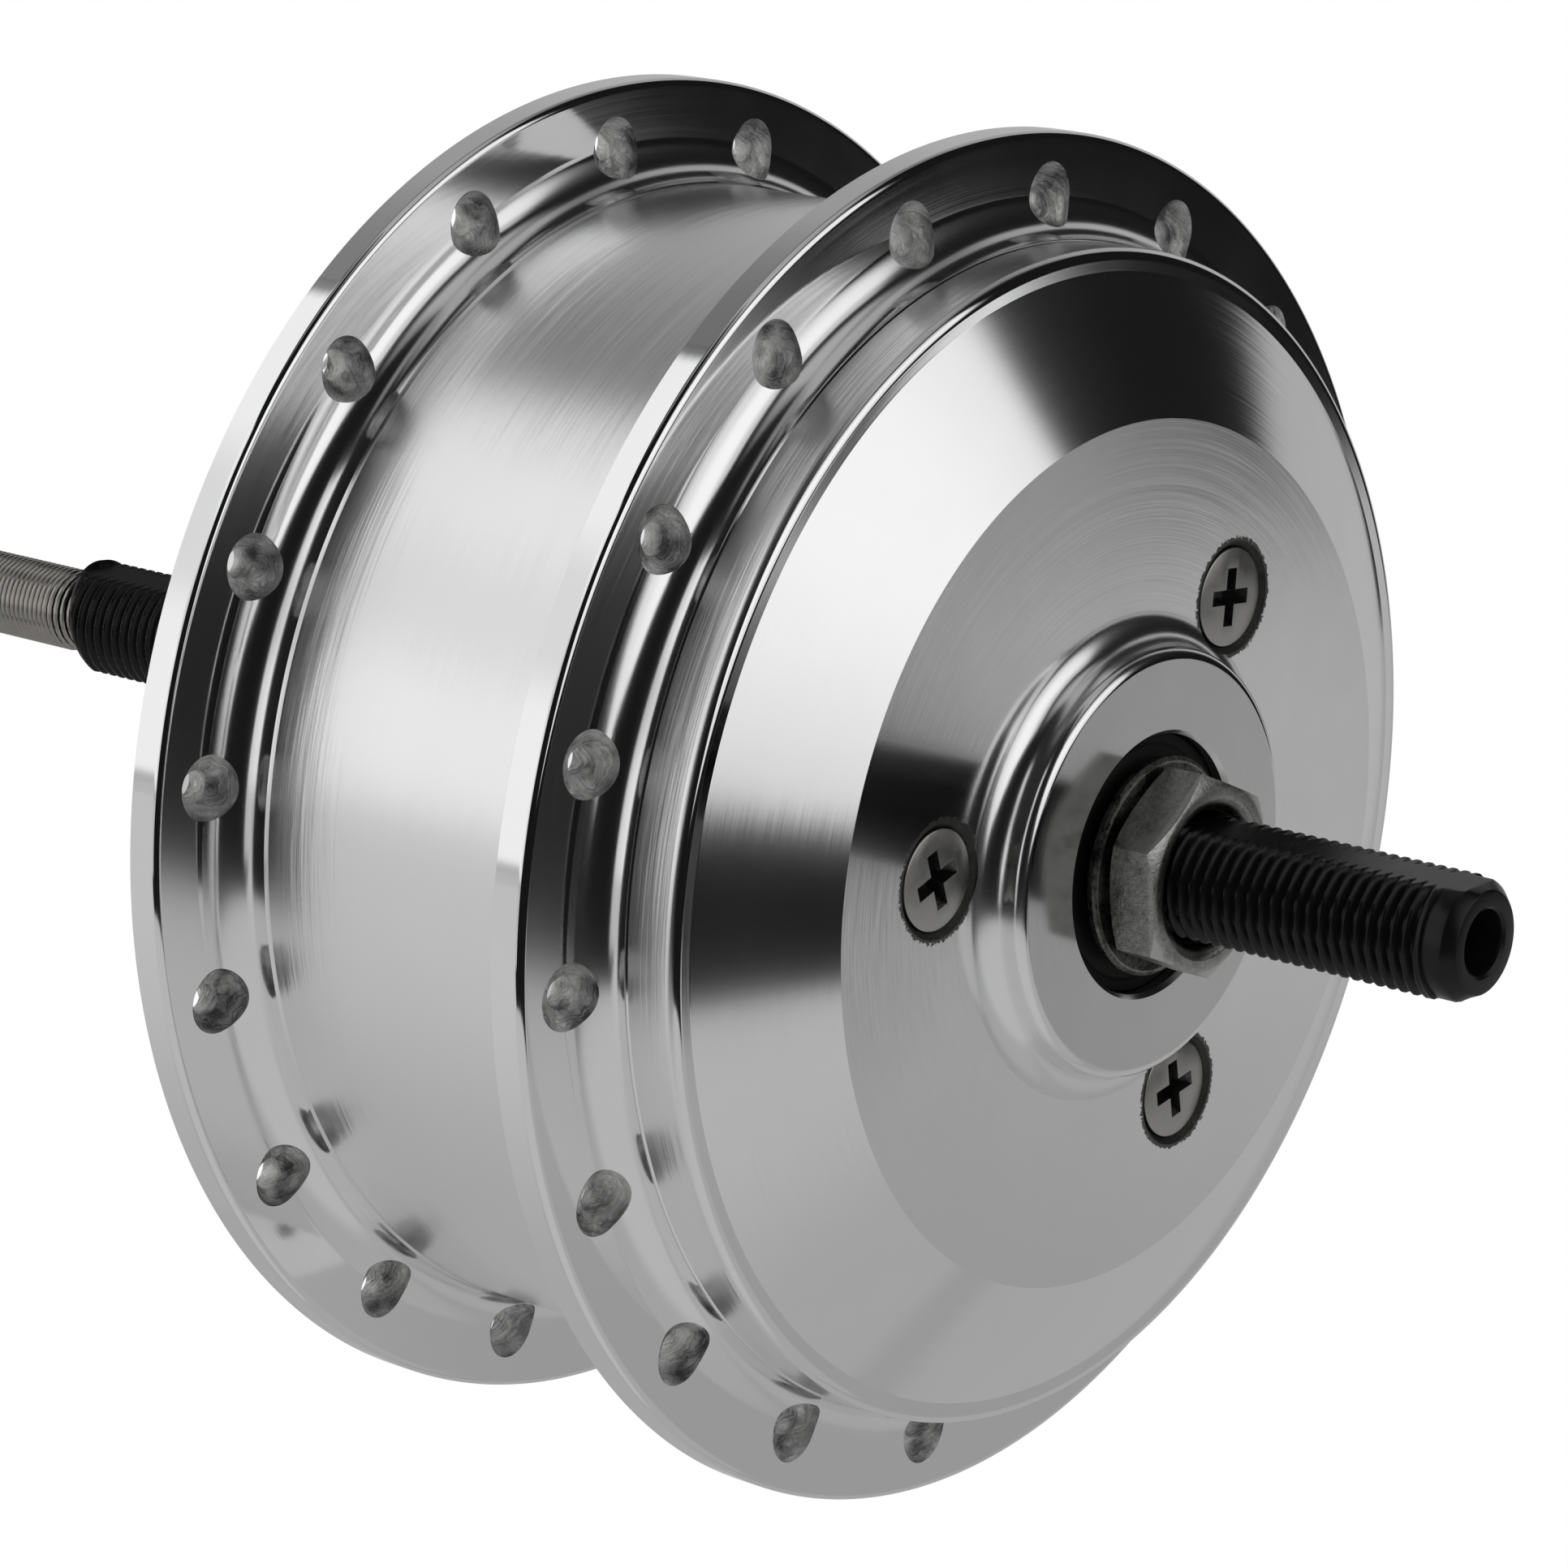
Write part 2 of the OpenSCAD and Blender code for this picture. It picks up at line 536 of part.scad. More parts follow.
// Rotor and stator
module rotor_can() {
    r = can_d / 2;
    b = rotor_brg_d / 2 + fit;
    color("#54575b") difference() {
        lathe([[b, rotor_y], [2 + sun_screw_r + 1, rotor_y], [2 + sun_screw_r + 1, rotor_y + 3],
            [b + 2.5, rotor_y + 3.6], [b + 2.5, web_y], [r - 2, web_y], [r, web_y + 2], [r, can_end],
            [r - can_wall, can_end], [r - can_wall, web_y + web_t], [b + 3.5, web_y + web_t],
            [b + 2.5, rotor_y + rotor_hub_l], [b, rotor_y + rotor_hub_l],
            [b, rotor_y + rotor_hub_l - rotor_brg_w], [b - 1.2, rotor_y + rotor_hub_l - rotor_brg_w],
            [b - 1.2, rotor_y + rotor_brg_w], [b, rotor_y + rotor_brg_w]]);
        for (i = [0:5]) at(60 * i, 30) rod(11, web_y - 1, web_y + web_t + 1);
        for (i = [0:2]) at(120 * i, sun_screw_r) rod(2.56, rotor_y - 1, rotor_y + 2.8);
    }
}
module magnets() {
    g = 0.5;
    color("#6f7276") plate(stack_y - 0.5, stack_end + 0.5) for (i = [0:poles - 1]) rotate(i * 360 / poles)
        intersection() {
            difference() {
                circle(r = magnet_r - fit);
                circle(r = magnet_r - magnet_t);
            }
            translate([0, -(PI * magnet_r / poles - g)]) square([can_d, 2 * (PI * magnet_r / poles - g)]);
        }
}
module stator_outline(w) {
    difference() {
        circle(r = yoke_out);
        circle(r = yoke_in);
    }
    for (i = [0:teeth - 1]) rotate(i * 360 / teeth)
        translate([yoke_out - 1, -w / 2]) square([stator_r - yoke_out, w]);
    difference() {
        circle(r = stator_r);
        circle(r = stator_r - 2.2);
        for (i = [0:teeth - 1]) rotate((i + 0.5) * 360 / teeth) translate([0, -1.2]) square([can_d, 2.4]);
    }
}
module stator_core() color("#77797c") plate(stack_y, stack_end) stator_outline(tooth_w);
module slot_liners()
    color("#e8e4d8") for (y = [stack_y - 1, stack_end]) plate(y, y + 1) stator_outline(tooth_w + 0.2);
module rounded(w, h, r) {
    translate([-w / 2 + r, -h / 2]) square([w - 2 * r, h]);
    translate([-w / 2, -h / 2 + r]) square([w, h - 2 * r]);
    for (x = [-1, 1], y = [-1, 1]) translate([x * (w / 2 - r), y * (h / 2 - r)]) circle(r = r, $fn = 32);
}
module windings() {
    w = tooth_w + 0.4;
    h = stack_l + 2.1;
    color("#b5672d") for (i = [0:teeth - 1]) at(i * 360 / teeth, yoke_out + 0.8)
        translate([0, (stack_y + stack_end) / 2, 0]) rotate([0, 90, 0])
            linear_extrude(stator_r - yoke_out - 3.4) difference() {
                rounded(w + 2 * coil_t, h + 5.4, 2.6);
                square([w, h], center = true);
            }
}
key_w = 4;
module stator_support() {
    color("#b4b6b8") difference() {
        union() {
            tube(27, stator_seat_d + 2 * fit, stack_y - 1, stack_end + clear);
            tube(2 * yoke_in - 2 * fit, 25, stack_y, stack_end);
            for (i = [0:2]) at(90 + 120 * i, 19) rod(5, stack_end - 1, board_y);
        }
        for (i = [0:5]) at(60 * i, 18.8) rod(6, stack_y - 1, stack_end + 1);
        translate([-key_w / 2, stack_y - 2, 0]) cube([key_w, stack_l + 4, stator_seat_d / 2 + 1.6]);
    }
}
module stator_key()
    color("#8a8c8f") translate([-key_w / 2 + fit, stack_y + fit, stator_seat_d / 2 - 1.5 + fit])
        cube([key_w - 2 * fit, stack_l - 2 - 2 * fit, 3]);
module hall_board() {
    color("#1f6b3a") plate(board_y, board_y + board_t) difference() {
        circle(r = 33);
        circle(r = rotor_seat_d / 2 + 2);
        translate([-4, -25]) square([8, 20]);
    }
    color("#222326") for (i = [-1:1]) at(90 + i * 13.33, 31)
        translate([-1, board_y - 2, -2]) cube([2, 2 + eps, 4]);
}

// Cable, spring and connector
function vadd(a, b) = [a[0] + b[0], a[1] + b[1], a[2] + b[2]];
function unit(v) = v / norm(v);
// Rings of s sides round the points p, with u held as level as the route allows
function sweep_points(p, r, s, up) = [for (i = [0:len(p) - 1])
    let (t = unit(p[min(i + 1, len(p) - 1)] - p[max(i - 1, 0)]), u = unit(cross(t, up)), v = cross(u, t))
    for (k = [0:s - 1]) p[i] + r * (cos(360 * k / s) * u + sin(360 * k / s) * v)];
function sweep_faces(n, s) = concat(
    [for (k = [1:s - 2]) [0, k, k + 1]],
    [for (i = [0:n - 2], k = [0:s - 1]) each let (a = i * s + k, b = i * s + (k + 1) % s)
        [[a, a + s, b], [b, a + s, b + s]]],
    [for (k = [1:s - 2]) [(n - 1) * s, (n - 1) * s + k + 1, (n - 1) * s + k]]);
module sweep(p, r, s, up) polyhedron(sweep_points(p, r, s, up), sweep_faces(len(p), s));

cable_r = cable_d / 2;
tie_t = 0.65;
tie_play = 0.15;
strand_gap = 0.5;
rest_z = floor_z + tie_t + tie_play + cable_r;
layer = cable_d + strand_gap;
// The cable leaves the axle level, droops to the surface and runs into the coil
surface_z = -60.3;
drop = rest_z / surface_z;
lead_route = [for (p = [[0, 33, 0], [0, 60, 0], [0, 92, 0], [0, 116, 0], [0, 131, 0], [0, 141, -1.5],
    [0, 151, -5.5], [0, 159, -11.5], [0, 166, -20], [0, 170, -30], [0, 174, -40.5], [0, 180, -49],
    [0, 188, -55.5], [0, 197, -59.5], [0, 207, surface_z], [0, 215, surface_z]]) [p[0], p[1], p[2] * drop]];
// The tail comes down from the coil's second layer until its plug lies on the surface
plug_d = 12.6;
plug_z = floor_z + plug_d / 2;
tail_drop = rest_z + layer - plug_z;
tail_route = [for (p = [[215, 1], [208, 1], [195, 0.73], [181, 0.19], [168, 0], [158, 0]])
    [-70, p[0], plug_z + tail_drop * p[1]]];
coil_start = [0, 215 + cable_d];
coil_r = 35;
coil_c = [coil_start[0] - coil_r, coil_start[1]];
rings_per_loop = 24;
loops_in = 1;
// One spiral inwards, a half turn that climbs a layer and turns back, one spiral outwards
function coil_point(i) =
    let (n = rings_per_loop, a = i / n, total = 2 * loops_in + 0.5, back = total - a,
        r = coil_r - layer * min(a, back), up = max(0, min(1, (a - loops_in) * 2)))
    [coil_c[0] + r * cos(360 * a), coil_c[1] + r * sin(360 * a), rest_z + layer * up];
coil_turns = (2 * loops_in + 0.5) * rings_per_loop;
coil_path = concat([vadd(coil_point(0), [0, -cable_d, 0])], [for (i = [0:coil_turns]) coil_point(i)],
    [vadd(coil_point(coil_turns), [0, -cable_d, 0])]);
// Spring round the cable, wound with a small gap between its turns and wider outside the axle's bore
spring_pitch = spring_wire + strand_gap;
spring_in = 8;
spring_turns = floor((spring_l + spring_in) / spring_pitch);
spring_swell = 0.55;
spring_path = [for (i = [0:8 * spring_turns]) let (a = 45 * i, y = spring_pitch * i / 8 - spring_in,
        r = (spring_d - spring_wire) / 2 + spring_swell * max(0, min(1, (y - 0.5) / 2)))
    [r * sin(a), far_len + y, r * cos(a)]];

function least(p, skip, d) =
    min([for (i = [0:len(p) - 1 - skip], j = [i + skip:len(p) - 1]) norm(p[i] - p[j])]) - d;
function run_length(p, i = 1) = i >= len(p) ? 0 : norm(p[i] - p[i - 1]) + run_length(p, i + 1);
echo(least_gap_of_the_coil = least([for (i = [0:coil_turns]) coil_point(i)], 12, cable_d));  // cable_coil
echo(least_gap_of_the_spring = least([for (i = [0:40]) spring_path[i]], 5, spring_wire));  // cable_spring
echo(cable_length_outside_the_axle = run_length([for (p = lead_route) if (p[1] > far_len) p])
        + lead_route[3][1] - far_len + run_length(coil_path) + run_length(tail_route));

module cable_spring() color("#77787a") sweep(spring_path, spring_wire / 2, 6, [0, 1, 0]);
module motor_cable() color("#1a1a1c") sweep(lead_route, cable_r, 10, [1, 0, 0]);
module cable_coil() color("#1a1a1c") sweep(coil_path, cable_r, 6, [0, 0, 1]);
module cable_tail() color("#1a1a1c") sweep(tail_route, cable_r, 10, [0, 0, 1]);
module cable_tie() {
    r = coil_r - layer * 0.75;
    w = cable_d + 6 * tie_play;
    h = 2 * cable_d + strand_gap + 2 * tie_play;
    color("#2b2c2e") translate([coil_c[0] - 4, coil_c[1] - r, rest_z + layer / 2])
        rotate([90, 0, 90]) linear_extrude(8) difference() {
            rounded(w + 2 * tie_t, h + 2 * tie_t, w / 2 + tie_t - 0.2);
            rounded(w, h, w / 2 - 0.2);
        }
}

plug_at = tail_route[len(tail_route) - 1];
module on_plug() translate([plug_at[0], plug_at[1], plug_at[2]]) children();
module connector_body()
    color("#232426") on_plug() difference() {
        lathe([[0, 0], [3.4, 0], [3.6, -1.5], [4.6, -1.7], [4.6, -2.6], [3.8, -2.8], [4, -4.6],
            [5, -4.8], [5, -5.7], [4.3, -5.9], [4.6, -8], [5.6, -10], [plug_d / 2, -12],
            [plug_d / 2, -33], [plug_d / 2 - 0.6, -34],
            [4.6, -34], [4.6, -31], [0, -31]]);
        for (i = [0:7]) at(22.5 + 45 * i, plug_d / 2 + 0.9) rod(3, -30, -14);
    }
module connector_insert()
    color("#3a3c3f") on_plug() difference() {
        lathe([[0, -31], [4.57, -31], [4.57, -35.6], [4.1, -35.8], [4.1, -37], [4.4, -37.2],
            [4.4, -43.5], [4, -44], [0, -44]]);
        for (i = [0:5]) at(60 * i, 2.7) rod(0.9, -45, -40);
        rod(1.3, -45, -40);
        translate([-0.8, -45, 3.6]) cube([1.6, 7, 2]);
    }
module connector_seal()
    color("#b8562b") on_plug() lathe([[4.15, -35.95], [4.9, -35.95], [4.9, -36.85], [4.15, -36.85]]);

lead_d = 1.8;
module phase_leads() {
    color("#c9a23a") for (i = [-1:1]) {
        x = 2 * i;
        a = 270 + 20 * i;
        e = yoke_out + 0.4;
        y = stack_end;
        sweep([[x, 32.5, -0.6], [x, y + 7.5, -0.8], [x, y + 4.9, -3], [x, y + 3.9, -7], [x, y + 3.5, -14],
            [e * 0.75 * cos(a), y + 2.5, e * 0.75 * sin(a)], [e * cos(a), y + 2.1, e * sin(a)]],
            lead_d / 2, 8, [1, 0, 0]);
    }
}

axle();
near_locknut();
far_locknut();
near_spacer();
far_spacer();
gear_spacer();
hub_shell();
near_cover();
cover_screws();
bearing_retainer();
near_seal();
far_seal();
near_bearing_inner();
near_bearing_outer();
near_bearing_balls();
far_bearing_inner();
far_bearing_outer();
far_bearing_balls();
rotor_bearing_inners();
rotor_bearing_outers();
rotor_bearing_balls();
ring_gear();
sun_gear();
sun_gear_screws();
planet_gear_1();
planet_gear_2();
planet_gear_3();
planet_bushing_1();
planet_bushing_2();
planet_bushing_3();
planet_carrier();
planet_pins();
planet_clips();
clutch_race();
clutch_rollers();
rotor_can();
magnets();
stator_support();
stator_core();
slot_liners();
windings();
stator_key();
hall_board();
phase_leads();
cable_spring();
motor_cable();
cable_coil();
cable_tail();
cable_tie();
connector_body();
connector_insert();
connector_seal();
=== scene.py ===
"""Front hub motor: the visible pieces, their finishes and a plain studio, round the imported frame."""

import json
import math

import bmesh
import bpy
from bpy.props import FloatProperty, FloatVectorProperty, IntProperty, PointerProperty
from mathutils import Matrix, Vector


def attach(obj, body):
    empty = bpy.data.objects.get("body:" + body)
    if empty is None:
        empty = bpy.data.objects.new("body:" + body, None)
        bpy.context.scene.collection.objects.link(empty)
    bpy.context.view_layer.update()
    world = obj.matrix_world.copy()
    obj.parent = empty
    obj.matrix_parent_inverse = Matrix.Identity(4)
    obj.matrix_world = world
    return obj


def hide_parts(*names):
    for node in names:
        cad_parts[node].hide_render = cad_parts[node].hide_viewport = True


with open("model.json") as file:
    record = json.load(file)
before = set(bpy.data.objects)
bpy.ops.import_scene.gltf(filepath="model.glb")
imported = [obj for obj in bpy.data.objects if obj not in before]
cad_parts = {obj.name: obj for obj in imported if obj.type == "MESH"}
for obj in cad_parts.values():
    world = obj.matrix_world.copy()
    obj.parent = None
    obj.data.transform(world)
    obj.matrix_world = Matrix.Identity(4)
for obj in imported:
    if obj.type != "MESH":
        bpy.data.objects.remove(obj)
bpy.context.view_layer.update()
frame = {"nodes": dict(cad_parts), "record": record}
NODES = frame["nodes"]

bl_info = {
    "name": "Front hub motor",
    "version": (1, 0, 0),
    "blender": (4, 5, 0),
    "location": "3D View > Sidebar > Hub motor",
    "description": "Dresses the packed front hub motor and sets up its studio",
    "category": "Object",
}

MM = 0.001
TAU = 2 * math.pi

# Sizes that the source gives too, in millimetres
DRUM_R = 54.5
FLANGE_R = 64.0
FLANGE_T = 3.55
NEAR_FACE = 24.4
FAR_FACE = 18.9
FILLET = 3.65
SEAM = 28.05
BAND = 33.75
CONE_R = 51.6
DISC_R = 40.05
DISC = 39.75
BOSS = 43.7
BOSS_R = 22.0
BOSS_FACE_R = 18.85
BORE_R = 12.0
SEAT_Y = 39.5
SPOKES = 18
NEAR_HOLES_R = 57.6
FAR_HOLES_R = 58.3
NEAR_PHASE = 2.0
FAR_PHASE = 12.0
SPOKE_HOLE_R = 1.5
SINK_R = 3.05
SINK_TILT = 33.0
SINK_SHIFT = 0.6
SCREW_CIRCLE_R = 26.75
SCREW_ANGLES = (51.5, 171.5, 291.5)
AXLE_R = 6.0
FLAT = 5.0
NEAR_END = -79.0
FAR_END = 93.0
TIP_LEAN = 13.0
NUT_SEAT = 50.0
NUT_H = 6.5
NUT_AF = 17.0
NUT_FLANGE_R = 10.1
NUT_TURN = 5.0

# Inner sizes, from the source too
GEAR_BORE_R = 50.0
SHELL_BORE_R = 48.6
RING_GEAR = (-26.4, -13.6)
NEAR_BEARING_R = 14.0
NEAR_BEARING_END = -31.5
FAR_BEARING_R = 16.0
FAR_BEARING = 30.5
FAR_NECK_R = 52.0
FAR_DISC = 36.0
COVER_WALL = 4.0
SCREW_PAD_R = 31.55
SCREW_R = 2.5
ROTOR_SEAT_R = 8.5
ROTOR_SEAT = (-11.7, -0.5)
STATOR_SEAT_R = 10.0
STATOR_SEAT_END = 21.0
FAR_SEAT_R = 7.5
CABLE_BORE_R = 4.0
CENTRE_HOLE_R = 2.9

# Sizes of the finer forms that only this scene has, in millimetres
FIT = 0.03
EASE = 0.15
FLANGE_EDGE = 0.7
FLANGE_BACK_EDGE = 0.3
FLANGE_BACK_FILLET = 1.5
RIM_ROUND = 1.0
SINK_POINT = 2.6
FAR_SINK_IN = 0.8
SPRING_R = 3.45

# The share of a drilled seat's depth that is kept, so that no light shows through the holes
SINK_FLOOR = 0.5

# The turn of each screw's cross, in degrees
SCREW_TURNS = (-6.5, 17.0, 9.0)

# The camera: place in metres, azimuth, elevation and roll in degrees, focal length in millimetres
CAMERA_PLACE = (-0.41129, -0.33933, 0.15583)
CAMERA_TURN = (-50.504, 16.364, 0.3003)
CAMERA_LENS = 134.69


# Settings


LENGTH = {"unit": "LENGTH", "precision": 5}
COLOUR = {"subtype": "COLOR", "size": 3, "min": 0, "max": 1}


class HubMotorSizes(bpy.types.PropertyGroup):
    thread_pitch: FloatProperty(
        name="Thread pitch", description="Distance between two crests of the axle thread",
        default=1.25 * MM, min=0.8 * MM, max=2 * MM, **LENGTH)
    thread_depth: FloatProperty(
        name="Thread depth", description="Depth of the axle thread",
        default=0.72 * MM, min=0.3 * MM, max=1.2 * MM, **LENGTH)
    cable_diameter: FloatProperty(
        name="Cable diameter", description="Outside diameter of the motor cable",
        default=5.8 * MM, min=4 * MM, max=7 * MM, **LENGTH)
    spring_wire: FloatProperty(
        name="Spring wire", description="Diameter of the wire of the spring round the cable",
        default=0.66 * MM, min=0.5 * MM, max=1.2 * MM, **LENGTH)
    segments: IntProperty(
        name="Segments", description="Steps round a turned piece", default=288, min=96, max=512)


class HubMotorColours(bpy.types.PropertyGroup):
    aluminium: FloatVectorProperty(
        name="Aluminium", description="Polished aluminium of the shell and the cover",
        **COLOUR, default=(0.90, 0.90, 0.905))
    zinc: FloatVectorProperty(
        name="Zinc", description="Dull plating of the locknuts",
        **COLOUR, default=(0.52, 0.52, 0.50))
    nickel: FloatVectorProperty(
        name="Nickel", description="Plating of the cover screws",
        **COLOUR, default=(0.44, 0.435, 0.42))
    black_oxide: FloatVectorProperty(
        name="Black oxide", description="Finish of the axle",
        **COLOUR, default=(0.004, 0.004, 0.004))
    jacket: FloatVectorProperty(
        name="Cable jacket", description="Colour of the motor cable",
        **COLOUR, default=(0.02, 0.02, 0.022))


def sizes():
    return bpy.context.scene.hub_motor_sizes


def colours():
    return bpy.context.scene.hub_motor_colours


# Shaders


class Level:
    """A shader value or vector. The usual operators on it add Math nodes."""

    def __init__(self, shade, socket):
        self.shade, self.socket = shade, socket

    def __add__(self, other):
        return self.shade.math("ADD", self, other)

    def __radd__(self, other):
        return self.shade.math("ADD", other, self)

    def __sub__(self, other):
        return self.shade.math("SUBTRACT", self, other)

    def __rsub__(self, other):
        return self.shade.math("SUBTRACT", other, self)

    def __mul__(self, other):
        return self.shade.math("MULTIPLY", self, other)

    def __rmul__(self, other):
        return self.shade.math("MULTIPLY", other, self)

    def __truediv__(self, other):
        return self.shade.math("DIVIDE", self, other)

    def __rtruediv__(self, other):
        return self.shade.math("DIVIDE", other, self)

    def __neg__(self):
        return self.shade.math("MULTIPLY", self, -1.0)

    def __abs__(self):
        return self.shade.math("ABSOLUTE", self)


class Shade:
    """Builds one node tree."""

    def __init__(self, tree):
        self.tree = tree

    def node(self, kind, settings=None, sockets=None):
        """A node of that type: settings first, then the values or links of its sockets."""
        node = self.tree.nodes.new(kind)
        for key, value in (settings or {}).items():
            setattr(node, key, value)
        for key, value in (sockets or {}).items():
            self.plug(node.inputs[key], value)
        return node

    def plug(self, socket, value):
        if isinstance(value, Level):
            value = value.socket
        if isinstance(value, bpy.types.NodeSocket):
            self.tree.links.new(value, socket)
        elif isinstance(value, (tuple, list)) and socket.type == "RGBA":
            socket.default_value = (*value[:3], 1.0)
        else:
            socket.default_value = value

    def level(self, node, output=0):
        return Level(self, node.outputs[output])

    def math(self, operation, *terms):
        return self.level(self.node("ShaderNodeMath", {"operation": operation}, dict(enumerate(terms))))

    def vector(self, operation, *terms):
        node = self.node("ShaderNodeVectorMath", {"operation": operation}, dict(enumerate(terms)))
        return self.level(node, "Value" if operation in ("LENGTH", "DOT_PRODUCT") else "Vector")

    def scaled(self, vector, factor):
        node = self.node("ShaderNodeVectorMath", {"operation": "SCALE"}, {"Vector": vector, "Scale": factor})
        return self.level(node, "Vector")

    def combine(self, x, y, z):
        return self.level(self.node("ShaderNodeCombineXYZ", None, {"X": x, "Y": y, "Z": z}))

    def split(self, vector):
        node = self.node("ShaderNodeSeparateXYZ", None, {"Vector": vector})
        return [self.level(node, axis) for axis in "XYZ"]

    def clamp(self, value, low=0.0, high=1.0):
        return self.level(self.node("ShaderNodeClamp", None, {"Value": value, "Min": low, "Max": high}))

    def step(self, value, low, high):
        """0 below low, 1 above high, smooth between."""
        node = self.node("ShaderNodeMapRange", {"interpolation_type": "SMOOTHSTEP"},
                         {"Value": value, "From Min": low, "From Max": high})
        return self.level(node)

    def band(self, value, low, high, soft):
        return self.step(value, low - soft, low + soft) * (1 - self.step(value, high - soft, high + soft))

    def noise(self, vector, scale=1.0, detail=2.0, rough=0.5):
        node = self.node("ShaderNodeTexNoise", {"noise_dimensions": "3D"},
                         {"Vector": vector, "Scale": scale, "Detail": detail, "Roughness": rough})
        return self.level(node, "Fac")

    def mix(self, factor, one, two):
        """Colours one and two, mixed."""
        node = self.node("ShaderNodeMix", {"data_type": "RGBA"}, {"Factor": factor})
        self.plug(node.inputs[6], one)
        self.plug(node.inputs[7], two)
        return Level(self, node.outputs[2])

    def place(self):
        """Object coordinates in millimetres."""
        texture = self.node("ShaderNodeTexCoord")
        return self.scaled(texture.outputs["Object"], 1 / MM)

    def round_axle(self, place):
        """x, y and z of a place, and its distance from the axle's line."""
        x, y, z = self.split(place)
        return x, y, z, self.vector("LENGTH", self.combine(x, 0.0, z))

    def angle(self, up, along):
        """The angle of a slope in degrees."""
        return self.math("ARCTAN2", up, along) * (180 / math.pi)

    def folded(self, angle, pitch):
        """An angle in degrees, folded into one pitch with 0 in its middle, in radians."""
        return (self.math("FLOORED_MODULO", angle + pitch / 2, pitch) - pitch / 2) * (math.pi / 180)

    def bump(self, height, distance):
        """A normal from a height in millimetres."""
        return self.level(self.node("ShaderNodeBump", None, {"Distance": distance * MM, "Height": height}))

    def turned_normal(self, place, amount, visible=0.3):
        """The normal, tipped across the grooves of a lathe tool. amount is the spread of their slopes,
        and visible the share of it in lines wide enough to be seen."""
        x, y, z, radius = self.round_axle(place)
        radius = radius + 0.001
        shape = self.node("ShaderNodeTexCoord").outputs["Normal"]
        along = self.combine(z / radius, 0.0, -x / radius)
        across = self.vector("CROSS_PRODUCT", along, shape)

        def lines(fineness, length):
            return self.noise(self.combine(x / radius * length + radius * fineness, y * fineness,
                                           z / radius * length), 1.0, 2.0, 0.6) - 0.5

        slope = lines(17.0, 6.0) * (1 - visible) + lines(3.1, 1.7) * visible
        tipped = self.vector("ADD", shape, self.scaled(across, slope * amount))
        to_world = self.node("ShaderNodeVectorTransform",
                             {"vector_type": "NORMAL", "convert_from": "OBJECT", "convert_to": "WORLD"},
                             {"Vector": tipped})
        return self.vector("NORMALIZE", to_world.outputs[0])

    def surface(self, **sockets):
        """The material's Principled shader, with its sockets by name."""
        names = {"base": "Base Color", "metallic": "Metallic", "roughness": "Roughness", "normal": "Normal",
                 "coat": "Coat Weight", "sheen": "Sheen Weight", "specular": "Specular IOR Level"}
        body = self.node("ShaderNodeBsdfPrincipled", None, {names[k]: v for k, v in sockets.items()})
        self.node("ShaderNodeOutputMaterial", None, {"Surface": body.outputs["BSDF"]})
        return body


def material(name):
    """A new material, the builder of its nodes, and the place on the object in millimetres."""
    made = bpy.data.materials.new(name)
    made.use_nodes = True
    made.node_tree.nodes.clear()
    s = Shade(made.node_tree)
    return made, s, s.place()


def shaded(colour, factor):
    return tuple(c * factor for c in colour)


def turned_aluminium(name, base, spread, roughness, mottle=0.05):
    """Aluminium off a lathe: fine grooves round the axle's line, and a faint cloudiness."""
    made, s, place = material(name)
    cloud = s.noise(place, 0.11, 3.0, 0.6)
    fine = s.noise(place, 2.2, 2.0, 0.5)
    s.surface(
        base=s.mix(s.clamp(cloud * mottle * 8), base, shaded(base, 0.9)),
        metallic=1.0,
        roughness=roughness + (cloud - 0.5) * mottle + (fine - 0.5) * mottle * 0.5,
        normal=s.turned_normal(place, spread),
    )
    return made


def shell_finish():
    """Bright flanges and hollow curves, and a drum with a coarser, brushed look."""
    made, s, place = material("polished_shell")
    base = tuple(colours().aluminium)
    x, y, z, radius = s.round_axle(place)
    drum = 1 - s.step(radius, DRUM_R + 0.03, DRUM_R + 0.25)
    drum = drum * s.band(y, -NEAR_FACE + 4.8, FAR_FACE - 4.3, 0.2)
    groove = s.band(radius, DRUM_R + 0.1, DRUM_R + FILLET - 0.4, 0.3) * (1 - drum)
    cloud = s.noise(place, 0.09, 3.0, 0.6)
    s.surface(
        base=s.mix(s.clamp(cloud * 0.4), base, shaded(base, 0.92)),
        metallic=1.0,
        roughness=0.06 + drum * 0.20 + groove * 0.09 + (cloud - 0.5) * 0.04,
        normal=s.turned_normal(place, 0.025 + drum * 0.32 + groove * 0.06),
    )
    return made


